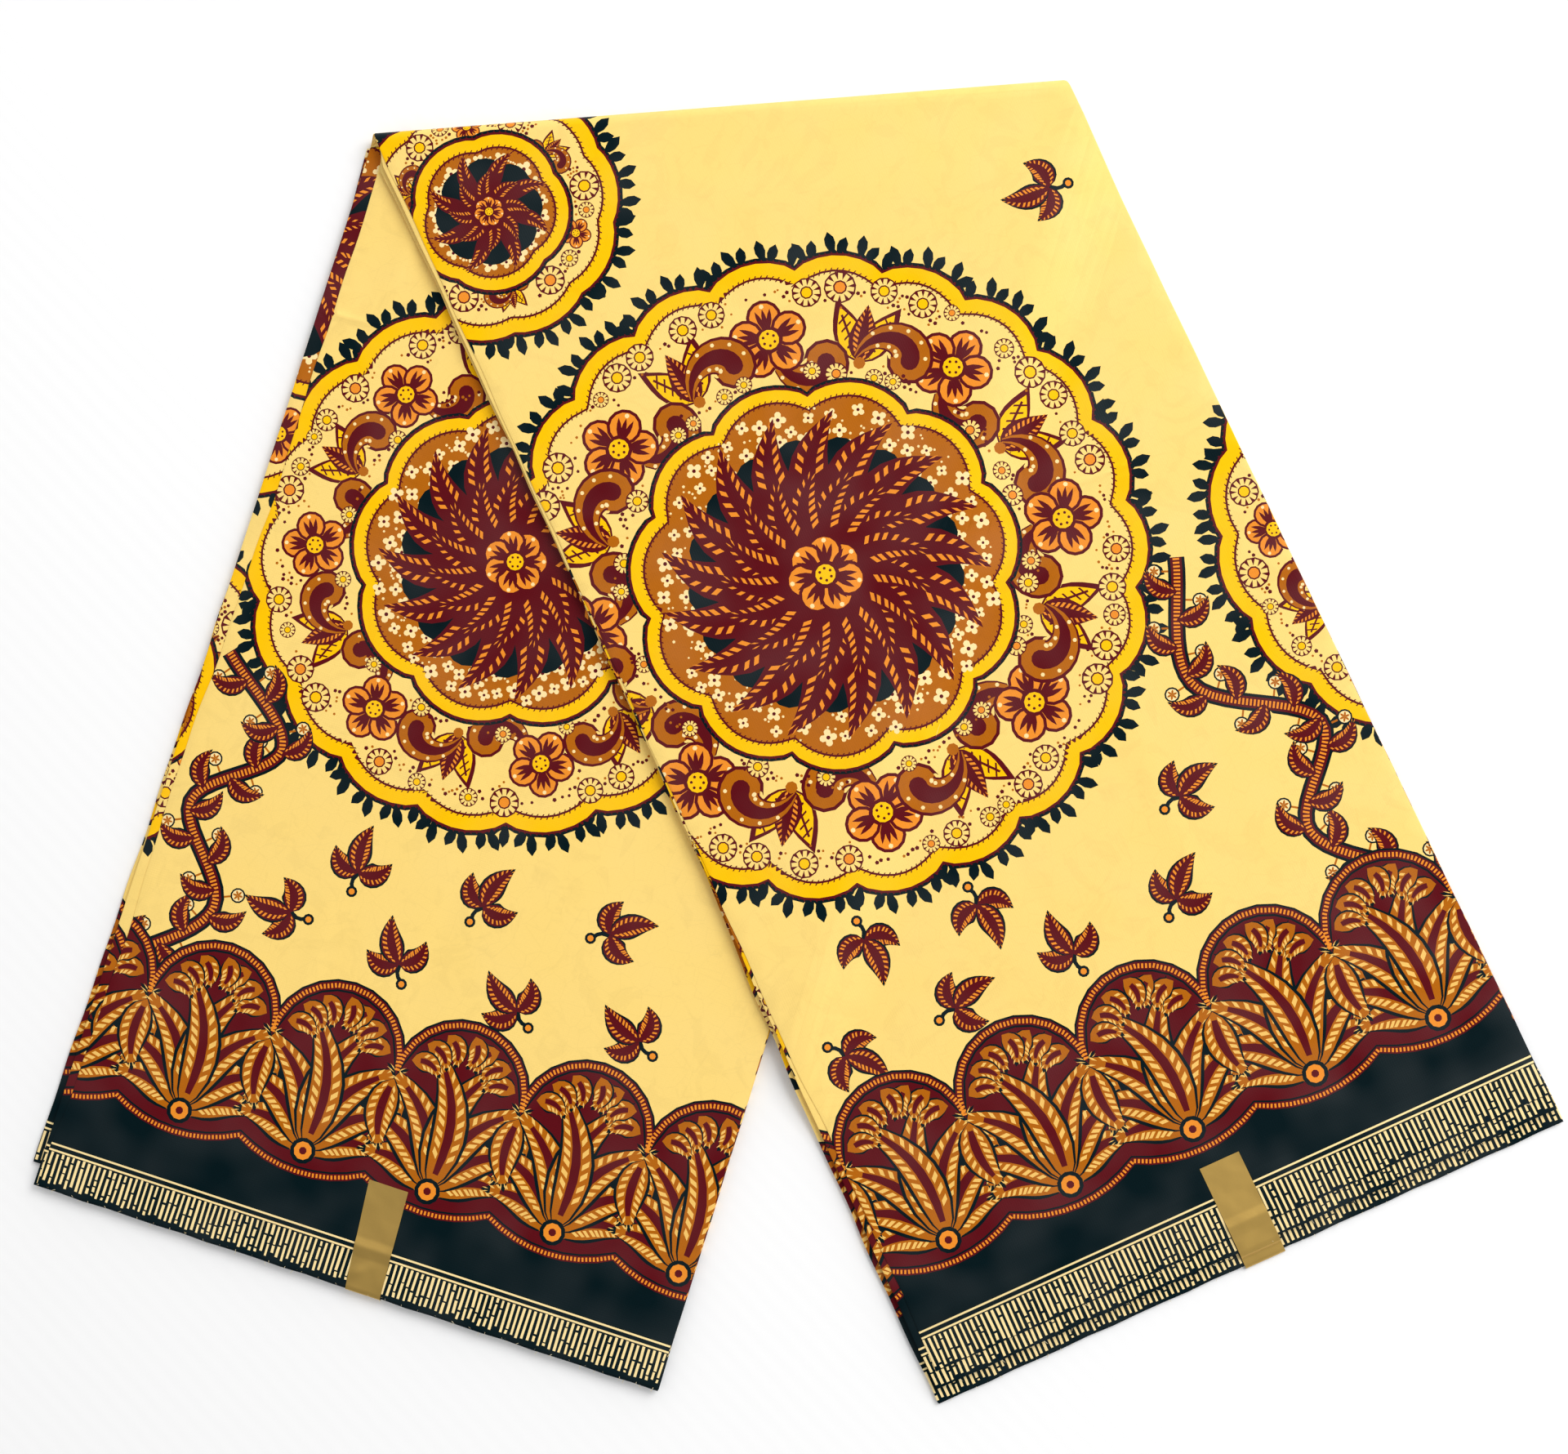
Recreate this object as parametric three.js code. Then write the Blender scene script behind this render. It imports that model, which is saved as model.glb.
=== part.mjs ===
// Six yards of wax print cotton, folded for sale and laid on a table, in millimetres.
//
// The cloth is doubled back and forth into a strip one lap wide, with a selvedge hem at each end. The strip
// is folded over once, on a slant, so its two legs spread into a V. The upper leg lies on the lower one and
// comes down beside it to the table. X runs to the right, Y away from the hems and Z up. The table is z = 0.

import * as THREE from 'three';
import { mergeVertices } from 'three/addons/utils/BufferGeometryUtils.js';

const RADIANS = Math.PI / 180;

// The strip: one lap of the cloth wide, and from the fold to the hem along its middle.
const LAP_WIDTH = 305;
const LEG_LENGTH = 575;
const UPPER_TURN = 24.7 * RADIANS;
const LOWER_TURN = 17.25 * RADIANS;
const FOLD_MIDDLE = new THREE.Vector3(-33.5, 295.3, 0);

// The pile: its inner laps in groups, and the sheet that shows on top of them.
const GROUP_THICKNESS = 1.1;
const GROUP_COUNT = 4;
const SHEET_THICKNESS = 1.0;
const SEAM_GAP = 0.3;
const EDGE_ROUNDING = 0.3;
const SHEET_HEIGHT = GROUP_THICKNESS * GROUP_COUNT + SEAM_GAP;
const LEG_THICKNESS = SHEET_HEIGHT + SHEET_THICKNESS;
const UPPER_RISE = LEG_THICKNESS + SEAM_GAP;

// The bend at the top of the fold, round both legs. Its ends draw in a little where it is tightest.
const BEND_RADIUS = (UPPER_RISE + LEG_THICKNESS) / 2;
const BEND_STEPS = 12;
const BEND_PINCH = 1.2;
const BEND_LAPS = [
  { radius: 0.4, inset: 3.0 },
  { radius: 1.6, inset: 3.0 },
  { radius: 1.6, inset: 2.0 },
  { radius: 3.0, inset: 2.0 },
  { radius: 3.0, inset: 1.0 },
  { radius: BEND_RADIUS - SHEET_THICKNESS - SEAM_GAP, inset: 1.0 },
];

// Where the upper leg comes down past the edge of the lower one.
const DROP_START = 9;
const DROP_WIDTH = 34;
const DROP_STEPS = 5;
const ROWS_ON_LOWER_LEG = 6;
const ROWS_ON_TABLE = 10;
const LOWER_LEG_ROWS = 16;
const COLUMNS = 8;

// How far each group of laps stands out past the strip, lowest group first. Left and right scale the edge
// tables below, and hem is a distance past the sheet's own hem.
const UPPER_GROUPS = [
  { left: 1.0, right: 1.0, hem: 14.2 },
  { left: 0.85, right: 0.5, hem: 13.2 },
  { left: 0.7, right: 0.2, hem: 7.4 },
  { left: 0.35, right: 0.0, hem: 6.4 },
];
const LOWER_GROUPS = [
  { left: 1.0, right: 0.0, hem: -8.6 },
  { left: 0.8, right: 0.5, hem: -7.6 },
  { left: 0.1, right: 0.0, hem: 0.8 },
  { left: -0.2, right: 0.5, hem: 0.2 },
];

// At a distance along the leg, how far the lowest laps stand out on each side, and the sheet on its left.
const UPPER_EDGE = [
  { along: -60, left: 4.6, right: 0.0, sheet: 0.0 },
  { along: 10, left: 2.6, right: 0.2, sheet: -0.4 },
  { along: 170, left: 1.4, right: 0.4, sheet: -0.2 },
  { along: 330, left: 1.6, right: 0.4, sheet: 0.0 },
  { along: 400, left: 4.0, right: 0.5, sheet: 0.4 },
  { along: 460, left: 5.0, right: 0.6, sheet: -0.4 },
  { along: 560, left: 5.2, right: 1.4, sheet: -1.0 },
  { along: 590, left: 4.4, right: 1.2, sheet: -0.4 },
];
const LOWER_EDGE = [
  { along: 50, left: 3.2, right: 0.5, sheet: -5.8 },
  { along: 100, left: 0.8, right: 0.5, sheet: -7.8 },
  { along: 165, left: 0.2, right: 0.5, sheet: -7.2 },
  { along: 230, left: 0.1, right: 0.5, sheet: -7.8 },
  { along: 305, left: 1.2, right: 0.5, sheet: -6.4 },
  { along: 380, left: 2.4, right: 0.5, sheet: -4.0 },
  { along: 440, left: 3.2, right: 0.5, sheet: -5.4 },
  { along: 500, left: 4.4, right: 0.5, sheet: -4.4 },
  { along: 580, left: 5.6, right: 0.5, sheet: -1.2 },
];

// Foil seals stuck round the hems, from near, their end up the leg, to far, the end round the hem. The rest
// is where their sides lie across the leg.
const FOIL_THICKNESS = 0.6;
const FOIL_CLEARANCE = 0.6;
const FOIL_BRIDGE = 3;
const UPPER_SEAL = { near: 540.5, nearLeft: -4.8, nearRight: 14.6, farLeft: -4.4, farRight: 15.2 };
const LOWER_SEAL = { near: 526.0, nearLeft: -3.3, nearRight: 15.8, farLeft: 1.8, farRight: 18.4 };

const HALF_WIDTH = LAP_WIDTH / 2;
const LEG_SPREAD = UPPER_TURN + LOWER_TURN;
const FOLD_SLANT = LEG_SPREAD / 2;
const FOLD_TILT = (UPPER_TURN - LOWER_TURN) / 2;
const FOLD_REACH = HALF_WIDTH * Math.tan(FOLD_SLANT);
const HALF_FOLD = HALF_WIDTH / Math.cos(FOLD_SLANT);
const FOLD_LINE = new THREE.Vector3(Math.cos(FOLD_TILT), Math.sin(FOLD_TILT), 0);
const FOLD_INWARD = new THREE.Vector3(Math.sin(FOLD_TILT), -Math.cos(FOLD_TILT), 0);
const UP = new THREE.Vector3(0, 0, 1);
const { lerp, smoothstep } = THREE.MathUtils;

// Each leg runs along from the fold to its hem, and across from its left edge to its right one.
const UPPER_LEG = {
  along: new THREE.Vector3(Math.sin(UPPER_TURN), -Math.cos(UPPER_TURN), 0),
  across: new THREE.Vector3(Math.cos(UPPER_TURN), Math.sin(UPPER_TURN), 0),
  edge: UPPER_EDGE,
};
const LOWER_LEG = {
  along: new THREE.Vector3(-Math.sin(LOWER_TURN), -Math.cos(LOWER_TURN), 0),
  across: new THREE.Vector3(Math.cos(LOWER_TURN), -Math.sin(LOWER_TURN), 0),
  edge: LOWER_EDGE,
};

function onLeg(leg, along, across, height) {
  return FOLD_MIDDLE.clone()
    .addScaledVector(leg.along, along)
    .addScaledVector(leg.across, across)
    .addScaledVector(UP, height);
}

function byFold(sideways, inward, height) {
  return FOLD_MIDDLE.clone()
    .addScaledVector(FOLD_LINE, sideways)
    .addScaledVector(FOLD_INWARD, inward)
    .addScaledVector(UP, height);
}

function fromTable(table, along, column) {
  const next = table.findIndex((row) => row.along >= along);
  if (next === 0) return table[0][column];
  if (next < 0) return table[table.length - 1][column];
  const before = table[next - 1];
  const after = table[next];
  return lerp(before[column], after[column], smoothstep(along, before.along, after.along));
}

// A closed body between grids of points that lie one above the other: the first grid is its underside, the
// last its top, and the edges of the grids between them are its sides.
function bodyThrough(grids) {
  const rows = grids[0].length;
  const columns = grids[0][0].length;
  const position = [];
  grids.flat(2).forEach((point) => position.push(point.x, point.y, point.z));
  const index = [];
  const at = (grid, row, column) => (grid * rows + row) * columns + column;
  const face = (a, b, c, d) => index.push(a, b, c, a, c, d);

  const top = grids.length - 1;
  for (let i = 0; i + 1 < rows; i += 1) {
    for (let j = 0; j + 1 < columns; j += 1) {
      face(at(top, i, j), at(top, i + 1, j), at(top, i + 1, j + 1), at(top, i, j + 1));
      face(at(0, i, j), at(0, i, j + 1), at(0, i + 1, j + 1), at(0, i + 1, j));
    }
  }

  const rim = [];
  for (let i = 0; i + 1 < rows; i += 1) rim.push([i, 0]);
  for (let j = 0; j + 1 < columns; j += 1) rim.push([rows - 1, j]);
  for (let i = rows - 1; i > 0; i -= 1) rim.push([i, columns - 1]);
  for (let j = columns - 1; j > 0; j -= 1) rim.push([0, j]);
  for (let k = 0; k < top; k += 1) {
    rim.forEach((here, n) => {
      const next = rim[(n + 1) % rim.length];
      face(at(k, ...here), at(k, ...next), at(k + 1, ...next), at(k + 1, ...here));
    });
  }

  const geometry = new THREE.BufferGeometry();
  geometry.setAttribute('position', new THREE.Float32BufferAttribute(position, 3));
  geometry.setIndex(index);
  return mergeVertices(geometry);
}

// Rows cross a leg. Each says how far along it meets the left and right edges, and how high the leg lies.
function rowsBetween(first, last, count) {
  const rows = [];
  for (let i = 0; i < count; i += 1) {
    const share = i / count;
    rows.push({
      left: lerp(first.left, last.left, share),
      right: lerp(first.right, last.right, share),
      rise: first.rise,
    });
  }
  return rows;
}

function lowerRows() {
  const start = (BEND_RADIUS + SEAM_GAP) / Math.cos(FOLD_SLANT);
  const first = { left: FOLD_REACH + start, right: -FOLD_REACH + start, rise: 0 };
  const last = { left: LEG_LENGTH, right: LEG_LENGTH, rise: 0 };
  return [...rowsBetween(first, last, LOWER_LEG_ROWS), last];
}

// The row that lies a distance past the lower leg's right edge, which crosses the upper leg on a slant.
function dropRow(past, rise) {
  const right = FOLD_REACH + past / Math.sin(LEG_SPREAD);
  return { left: right + LAP_WIDTH / Math.tan(LEG_SPREAD), right, rise };
}

function upperRows() {
  const start = (BEND_RADIUS + SEAM_GAP) / Math.cos(FOLD_SLANT);
  const first = { left: -FOLD_REACH + start, right: FOLD_REACH + start, rise: UPPER_RISE };
  const last = { left: LEG_LENGTH, right: LEG_LENGTH, rise: 0 };
  const drop = [];
  for (let i = 0; i <= DROP_STEPS; i += 1) {
    const share = i / DROP_STEPS;
    drop.push(dropRow(DROP_START + share * DROP_WIDTH, UPPER_RISE * (1 - smoothstep(share, 0, 1))));
  }
  const landed = drop.pop();
  return [
    ...rowsBetween(first, drop[0], ROWS_ON_LOWER_LEG),
    ...drop,
    ...rowsBetween(landed, last, ROWS_ON_TABLE),
    last,
  ];
}

// One level of a leg: its points at one height over the rows, with its sides and hem moved outwards.
function legGrid(leg, rows, level) {
  return rows.map((row, i) => {
    const hem = i === rows.length - 1 ? level.hem : 0;
    const left = -HALF_WIDTH - level.left(row.left);
    const right = HALF_WIDTH + level.right(row.right);
    const points = [];
    for (let j = 0; j <= COLUMNS; j += 1) {
      const across = lerp(left, right, j / COLUMNS);
      const along = lerp(row.left, row.right, (across + HALF_WIDTH) / LAP_WIDTH) + hem;
      points.push(onLeg(leg, along, across, row.rise + level.height));
    }
    return points;
  });
}

// The inner laps of a leg, in groups that stand out by different amounts, each with a rounded edge.
function innerLaps(leg, rows, groups) {
  const levels = groups.flatMap((group, g) => {
    const base = g * GROUP_THICKNESS;
    const level = (height, inset) => ({
      height,
      left: (along) => fromTable(leg.edge, along, 'left') * group.left - inset,
      right: (along) => fromTable(leg.edge, along, 'right') * group.right - inset,
      hem: group.hem - inset,
    });
    return [
      level(base, EDGE_ROUNDING),
      level(base + GROUP_THICKNESS / 2, 0),
      level(base + GROUP_THICKNESS, EDGE_ROUNDING),
    ];
  });
  return bodyThrough(levels.map((level) => legGrid(leg, rows, level)));
}

function sheetLevels(leg) {
  return [
    { depth: 0, inset: EDGE_ROUNDING },
    { depth: SHEET_THICKNESS / 2, inset: 0 },
    { depth: SHEET_THICKNESS, inset: EDGE_ROUNDING },
  ].map(({ depth, inset }) => ({
    depth,
    inset,
    height: SHEET_HEIGHT + depth,
    left: (along) => fromTable(leg.edge, along, 'sheet') - inset,
    right: () => -inset,
    hem: -inset,
  }));
}

function topSheet(leg, rows) {
  return bodyThrough(sheetLevels(leg).map((level) => legGrid(leg, rows, level)));
}

// Rows round the bend, from the table up and over. The strip's edges cross the fold on a slant, so both
// ends of a row travel along the fold as it goes round.
function bendRows(radius, inset) {
  const rows = [];
  const middle = BEND_RADIUS - SHEET_THICKNESS / 2;
  for (let k = BEND_STEPS; k >= 0; k -= 1) {
    const angle = (k / BEND_STEPS) * Math.PI;
    const travel = (BEND_RADIUS - middle * angle) * Math.tan(FOLD_SLANT);
    const half = HALF_FOLD - inset - BEND_PINCH * Math.sin(angle) ** 2;
    const points = [];
    for (let j = 0; j <= COLUMNS; j += 1) {
      const sideways = lerp(-half, half, j / COLUMNS) + travel;
      const inward = BEND_RADIUS - radius * Math.sin(angle);
      points.push(byFold(sideways, inward, BEND_RADIUS + radius * Math.cos(angle)));
    }
    rows.push(points);
  }
  return rows;
}

function bendSheet() {
  const inner = BEND_RADIUS - SHEET_THICKNESS;
  const levels = sheetLevels(UPPER_LEG);
  return bodyThrough(levels.map((level) => bendRows(inner + level.depth, level.inset)));
}

function bendLaps() {
  return bodyThrough(BEND_LAPS.map(({ radius, inset }) => bendRows(radius, inset)));
}

// The line that a seal follows over the hem: flat on the sheet, down over the laps that stand out, and to
// the table. It bridges laps that lie close together.
function sealLine(near, groups) {
  const top = LEG_THICKNESS + SEAM_GAP;
  const line = [
    { along: near, height: top },
    { along: LEG_LENGTH + FOIL_CLEARANCE, height: top },
  ];
  let reached = 0;
  [...groups.keys()].reverse().forEach((g) => {
    if (groups[g].hem - reached < FOIL_BRIDGE) return;
    reached = groups[g].hem;
    const height = (g + 1) * GROUP_THICKNESS + FOIL_CLEARANCE;
    line.push({ along: LEG_LENGTH + reached + FOIL_CLEARANCE, height });
  });
  const furthest = Math.max(...groups.map((group) => group.hem));
  const end = LEG_LENGTH + furthest + FOIL_CLEARANCE + SEAM_GAP;
  line.push({ along: end, height: line[line.length - 1].height - GROUP_THICKNESS });
  line.push({ along: end, height: 0 });
  return line;
}

// The same line moved outwards by the foil's thickness, square to its stretches.
function outside(line) {
  return line.map((point, i) => {
    const before = line[Math.max(i - 1, 0)];
    const after = line[Math.min(i + 1, line.length - 1)];
    const length = Math.hypot(after.along - before.along, after.height - before.height);
    return {
      along: point.along + ((before.height - after.height) / length) * FOIL_THICKNESS,
      height: point.height + ((after.along - before.along) / length) * FOIL_THICKNESS,
    };
  });
}

function seal(leg, place, groups) {
  const line = sealLine(place.near, groups);
  const far = line[line.length - 1].along;
  const grid = (points) => points.map(({ along, height }) => {
    const share = smoothstep(along, place.near, far);
    return [
      onLeg(leg, along, lerp(place.nearLeft, place.farLeft, share), height),
      onLeg(leg, along, lerp(place.nearRight, place.farRight, share), height),
    ];
  });
  return bodyThrough([grid(line), grid(outside(line))]);
}

const cotton = (colour) => new THREE.MeshStandardMaterial({ color: colour, roughness: 0.72, metalness: 0 });
const foil = () => new THREE.MeshStandardMaterial({ color: 0xb4964b, roughness: 0.35, metalness: 0.8 });

function named(name, geometry, material) {
  geometry.computeVertexNormals();
  const mesh = new THREE.Mesh(geometry, material);
  mesh.name = name;
  return mesh;
}

const bundle = new THREE.Group();
bundle.add(
  named('lower_leg_laps', innerLaps(LOWER_LEG, lowerRows(), LOWER_GROUPS), cotton(0xb4762a)),
  named('lower_leg_sheet', topSheet(LOWER_LEG, lowerRows()), cotton(0xfadc82)),
  named('fold_bend_laps', bendLaps(), cotton(0xd9b25a)),
  named('fold_bend_sheet', bendSheet(), cotton(0xfae096)),
  named('upper_leg_laps', innerLaps(UPPER_LEG, upperRows(), UPPER_GROUPS), cotton(0x8a4a22)),
  named('upper_leg_sheet', topSheet(UPPER_LEG, upperRows()), cotton(0xfae096)),
  named('lower_hem_seal', seal(LOWER_LEG, LOWER_SEAL, LOWER_GROUPS), foil()),
  named('upper_hem_seal', seal(UPPER_LEG, UPPER_SEAL, UPPER_GROUPS), foil()),
);

export default bundle;
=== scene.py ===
# %% [markdown]
# # A folded length of wax print cotton
# Printed cotton like this is sold by the piece: six yards, 46 inches wide, lapped into a strip a foot
# wide, pressed, folded over once and held by two foil seals on the cut edges. It lies flat, so nothing
# here is draped by a simulation. What matters is the crisp print, the thin stack of laps at each edge,
# the one soft turn at the top and the slope where the upper leg comes down from the lower one to the
# table. The fixed frame comes first.

# %% Tools and the fixed frame
import bisect
import cmath
import math
import random

import bpy
import numpy as np
from mathutils import Matrix, Vector
from mathutils.geometry import delaunay_2d_cdt


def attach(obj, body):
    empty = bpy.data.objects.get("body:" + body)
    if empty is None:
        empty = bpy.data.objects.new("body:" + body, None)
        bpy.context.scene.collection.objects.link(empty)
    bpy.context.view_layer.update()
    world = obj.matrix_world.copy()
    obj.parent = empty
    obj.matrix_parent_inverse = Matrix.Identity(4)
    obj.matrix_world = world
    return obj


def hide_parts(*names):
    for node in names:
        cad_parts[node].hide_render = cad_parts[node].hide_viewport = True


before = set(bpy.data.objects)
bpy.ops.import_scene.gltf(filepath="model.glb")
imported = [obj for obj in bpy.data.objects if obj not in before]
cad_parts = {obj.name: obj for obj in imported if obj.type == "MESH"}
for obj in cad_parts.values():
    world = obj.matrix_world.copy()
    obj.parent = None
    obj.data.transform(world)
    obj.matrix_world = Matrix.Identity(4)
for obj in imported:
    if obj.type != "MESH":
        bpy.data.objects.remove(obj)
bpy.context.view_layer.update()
print("frame nodes:", ", ".join(sorted(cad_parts)))

# %% [markdown]
# ## Sizes of the folded cloth
# The plan is worked out in millimetres with complex numbers, because a turn is then one multiplication. A
# place on a leg is given by how far it is along the leg from the fold and how far across it. Each leg
# turns out from the fold by its own angle, so the fold runs at a slant across the strip.

# %% Sizes, in millimetres
MM = 0.001
TURN = 2 * math.pi
LAP_WIDTH, LEG_LENGTH = 305.0, 575.0
HALF_WIDTH = LAP_WIDTH / 2
BLEED = 8.0                                # how far the print is drawn past the lap
UPPER_TURN, LOWER_TURN = math.radians(24.7), math.radians(17.25)
LEG_SPREAD = UPPER_TURN + LOWER_TURN
SLANT = LEG_SPREAD / 2
FOLD_MIDDLE = complex(-33.5, 295.3)
FOLD_LINE = cmath.rect(1, (UPPER_TURN - LOWER_TURN) / 2)
UPPER_ALONG = cmath.rect(1, UPPER_TURN - math.pi / 2)
LOWER_ALONG = cmath.rect(1, -LOWER_TURN - math.pi / 2)
ALONG = {"upper": UPPER_ALONG, "lower": LOWER_ALONG}
FOLD_REACH = HALF_WIDTH * math.tan(SLANT)
LEG_THICKNESS, UPPER_RISE = 5.7, 6.0
BEND_RADIUS, BEND_MIDDLE = 5.85, 5.35      # of the outer face, and half way through the cloth's stack
BEND_GAP = BEND_RADIUS - LEG_THICKNESS     # radius of the turn of the innermost lap
DROP_START, DROP_WIDTH = 9.0, 34.0         # the slope starts here past the lower leg, and is this wide
print(f"each leg is {LAP_WIDTH:.0f} mm wide and {LEG_LENGTH:.0f} mm long, the fold slants "
      f"{math.degrees(SLANT):.1f} degrees")

# %% [markdown]
# ## Creases and slow waves
# Starched cotton that was pressed in a stack keeps a few soft creases from being handled, and is never
# quite flat. They could be modelled one by one with a brush, but a sum of smooth ridges is easier to
# place and change. Each one has its own length, width and height, and the two sharpest are where they
# show best.

# %% Height of the face over a pressed one
# Each crease: a point on it, its direction in degrees, half length, half width, height in mm, which leg
CREASES = [
    (complex(139, 119), 21, 24, 1.4, 0.8, "upper"), (complex(96, 104), 17, 34, 3.0, 0.4, "upper"),
    (complex(-206, 197), -14, 17, 1.7, 0.8, "lower"), (complex(-181, 229), 62, 20, 6.0, 1.1, "lower"),
    (complex(20, 262), 3.7, 120, 9.0, 0.5, "upper"), (complex(190, -60), -66, 90, 6.0, 0.4, "upper"),
    (complex(60, 40), -63, 150, 5.0, -0.35, "upper"), (complex(-150, -40), 74, 120, 6.0, -0.4, "lower"),
    (complex(-232, -130), 70, 60, 5.0, 0.45, "lower"), (complex(150, -175), 25, 70, 8.0, 0.4, "upper"),
    (complex(265, -120), 31, 34, 4.0, 0.35, "upper"), (complex(-130, -205), -17, 58, 6.0, 0.35, "lower"),
]


def smooth(share):
    share = np.clip(share, 0.0, 1.0)
    return share * share * (3 - 2 * share)


def relief(place, leg):
    """Creases and slow waves, in mm above the pressed face."""
    rise = 0.14 * np.sin(place.real / 41 + 1.3 * np.sin(place.imag / 63)) * np.cos(place.imag / 53)
    rise = rise + 0.1 * np.sin((place.real * 0.8 + place.imag) / 27 + 2.0)
    for at, turn, reach, width, height, where in CREASES:
        if where == leg:
            off = (place - at) * cmath.rect(1, -math.radians(turn))
            bow = off.imag + 0.06 * reach * np.cos(off.real / reach * 1.4)
            rise = rise + height * np.exp(-(off.real / reach) ** 4 - (bow / width) ** 2)
    return rise


print(f"{len(CREASES)} creases; at the fold's middle the face is {relief(FOLD_MIDDLE, 'upper'):.2f} mm up")

# %% [markdown]
# ## The form that the cloth lies on
# The upper leg lies on the lower one and slopes down past its right edge, and every lap goes over the
# fold on its own radius. Bending a finished flat cloth with modifiers would need one for each of these
# forms. One function for each leg gives a point's place in space instead, so the top sheet, the laps, the
# seals and the loose threads all agree.

# %% From the leg's plan to space
def upper_form(x, y, height):
    """x across the lap, y up from the cut edge, height over the underside: gives points in mm."""
    along = LEG_LENGTH - y
    place = FOLD_MIDDLE + UPPER_ALONG * (along + 1j * x)
    folded = (place - FOLD_MIDDLE) / FOLD_LINE
    inward = -folded.imag
    past = (along - FOLD_REACH - (HALF_WIDTH - x) / math.tan(LEG_SPREAD)) * math.sin(LEG_SPREAD)
    rise = UPPER_RISE * (1 - smooth((past - DROP_START) / DROP_WIDTH))
    z = rise + height + relief(place, "upper") * height / LEG_THICKNESS * smooth(inward / 30)
    angle = (BEND_RADIUS - inward) / BEND_MIDDLE
    radius = height + BEND_GAP
    turned = FOLD_MIDDLE + FOLD_LINE * (folded.real - 1j * (BEND_RADIUS - radius * np.sin(angle)))
    bent = inward < BEND_RADIUS
    place = np.where(bent, turned, place)
    z = np.where(bent, BEND_RADIUS + radius * np.cos(angle), z)
    return np.stack([place.real, place.imag, z], -1)


def lower_form(x, y, height):
    place = FOLD_MIDDLE + LOWER_ALONG * (LEG_LENGTH - y + 1j * x)
    z = height + relief(place, "lower") * height / LEG_THICKNESS
    return np.stack([place.real, place.imag, z], -1)


FORMS = {"upper": upper_form, "lower": lower_form}
hem_height = upper_form(0.0, 0.0, 0.0)[2]
print(f"the slope ends {DROP_START + DROP_WIDTH:.0f} mm past the lower leg, "
      f"and the hem's middle lies {hem_height:.2f} mm up")

# %% [markdown]
# ## Inks of the print
# A wax print has a few crisp inks with no shading: indigo or dark green first, under resin, then the
# others by block or roller. The ground is a warm cream. So the print needs only a short list of flat
# colours.

# %% Inks, and a helper for colours
INKS = {"cream": "FBD87C", "pale": "FDE2A2", "yellow": "FFC400", "ochre": "B4640A", "maroon": "5C0A14",
        "green": "00151A", "orange": "F09028", "straw": "F4C468"}


def linear(code, strength=1.0):
    """An sRGB hex colour as linear red, green, blue and alpha."""
    parts = [int(code[k:k + 2], 16) / 255 for k in (0, 2, 4)]
    return [strength * (c / 12.92 if c <= 0.04045 else ((c + 0.055) / 1.055) ** 2.4) for c in parts] + [1.0]


INK_NAMES = list(INKS)
INK_COLOURS = np.array([linear(code) for code in INKS.values()], dtype=np.float32)
print(len(INKS), "inks:", ", ".join(INKS))

# %% [markdown]
# ## Reading a painted plan
# No texture picture is used here, so the print is drawn as flat polygons, each an ink and a path, later
# ones over earlier ones as a painter lays them. A point's ink is that of the last path that goes round
# it.

# %% The ink at a point
def within(points, path):
    """For each complex point, whether the closed path goes round it."""
    odd = np.zeros(len(points), bool)
    x, y = points.real, points.imag
    for a, b in zip(path, path[1:] + path[:1]):
        if a.imag != b.imag:
            crosses = (a.imag > y) != (b.imag > y)
            odd ^= crosses & (x < a.real + (b.real - a.real) * (y - a.imag) / (b.imag - a.imag))
    return odd


def painted(middles, shapes):
    """The topmost ink at each point. Points are sorted by x, so each shape asks only those near it."""
    inks = np.zeros(len(middles), int)
    order = np.argsort(middles.real)
    ordered = middles[order]
    for ink, path in shapes:
        xs, ys = [p.real for p in path], [p.imag for p in path]
        first, last = np.searchsorted(ordered.real, (min(xs), max(xs)))
        near = np.arange(first, last)
        near = near[(ordered.imag[near] > min(ys)) & (ordered.imag[near] < max(ys))]
        if len(near):
            inks[order[near[within(ordered[near], path)]]] = INK_NAMES.index(ink)
    return inks


sample = [("ochre", [0j, 10 + 0j, 10 + 10j, 10j]), ("maroon", [4 + 4j, 6 + 4j, 6 + 6j, 4 + 6j])]
print("inks on a sample:", [INK_NAMES[k] for k in painted(np.array([1 + 1j, 5 + 5j]), sample)])

# %% [markdown]
# ## Cutting a print into the cloth
# One constrained Delaunay triangulation cuts the paths into the cloth's outline, and each triangle takes
# its ink from its middle. Only the edges that part two inks are cut, which keeps the mesh small. Extra
# lines follow the fold and the slope, and loose points follow the creases, so the cloth can bend there.

# %% From paths to triangles
CLOSE = 0.001           # points nearer than this, in mm, are one
BESIDE = 0.03           # how far beside an edge its two inks are read, in mm
LONG_EDGE = 12.0        # longer edges are always cut, in mm


def showing(shapes):
    """The edges of the shapes that part two inks. Those that lie under later shapes aren't cut."""
    starts = np.array([p for _, path in shapes for p in path])
    ends = np.array([p for _, path in shapes for p in path[1:] + path[:1]])
    run = ends - starts
    starts, run = starts[abs(run) > CLOSE], run[abs(run) > CLOSE]
    parts = abs(run) > LONG_EDGE
    for share in (0.15, 0.5, 0.85):
        middle, side = starts + run * share, 1j * run / abs(run) * BESIDE
        both = painted(np.concatenate([middle + side, middle - side]), shapes)
        parts |= both[:len(run)] != both[len(run):]
    return list(zip(starts[parts].tolist(), (starts + run)[parts].tolist()))


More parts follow.
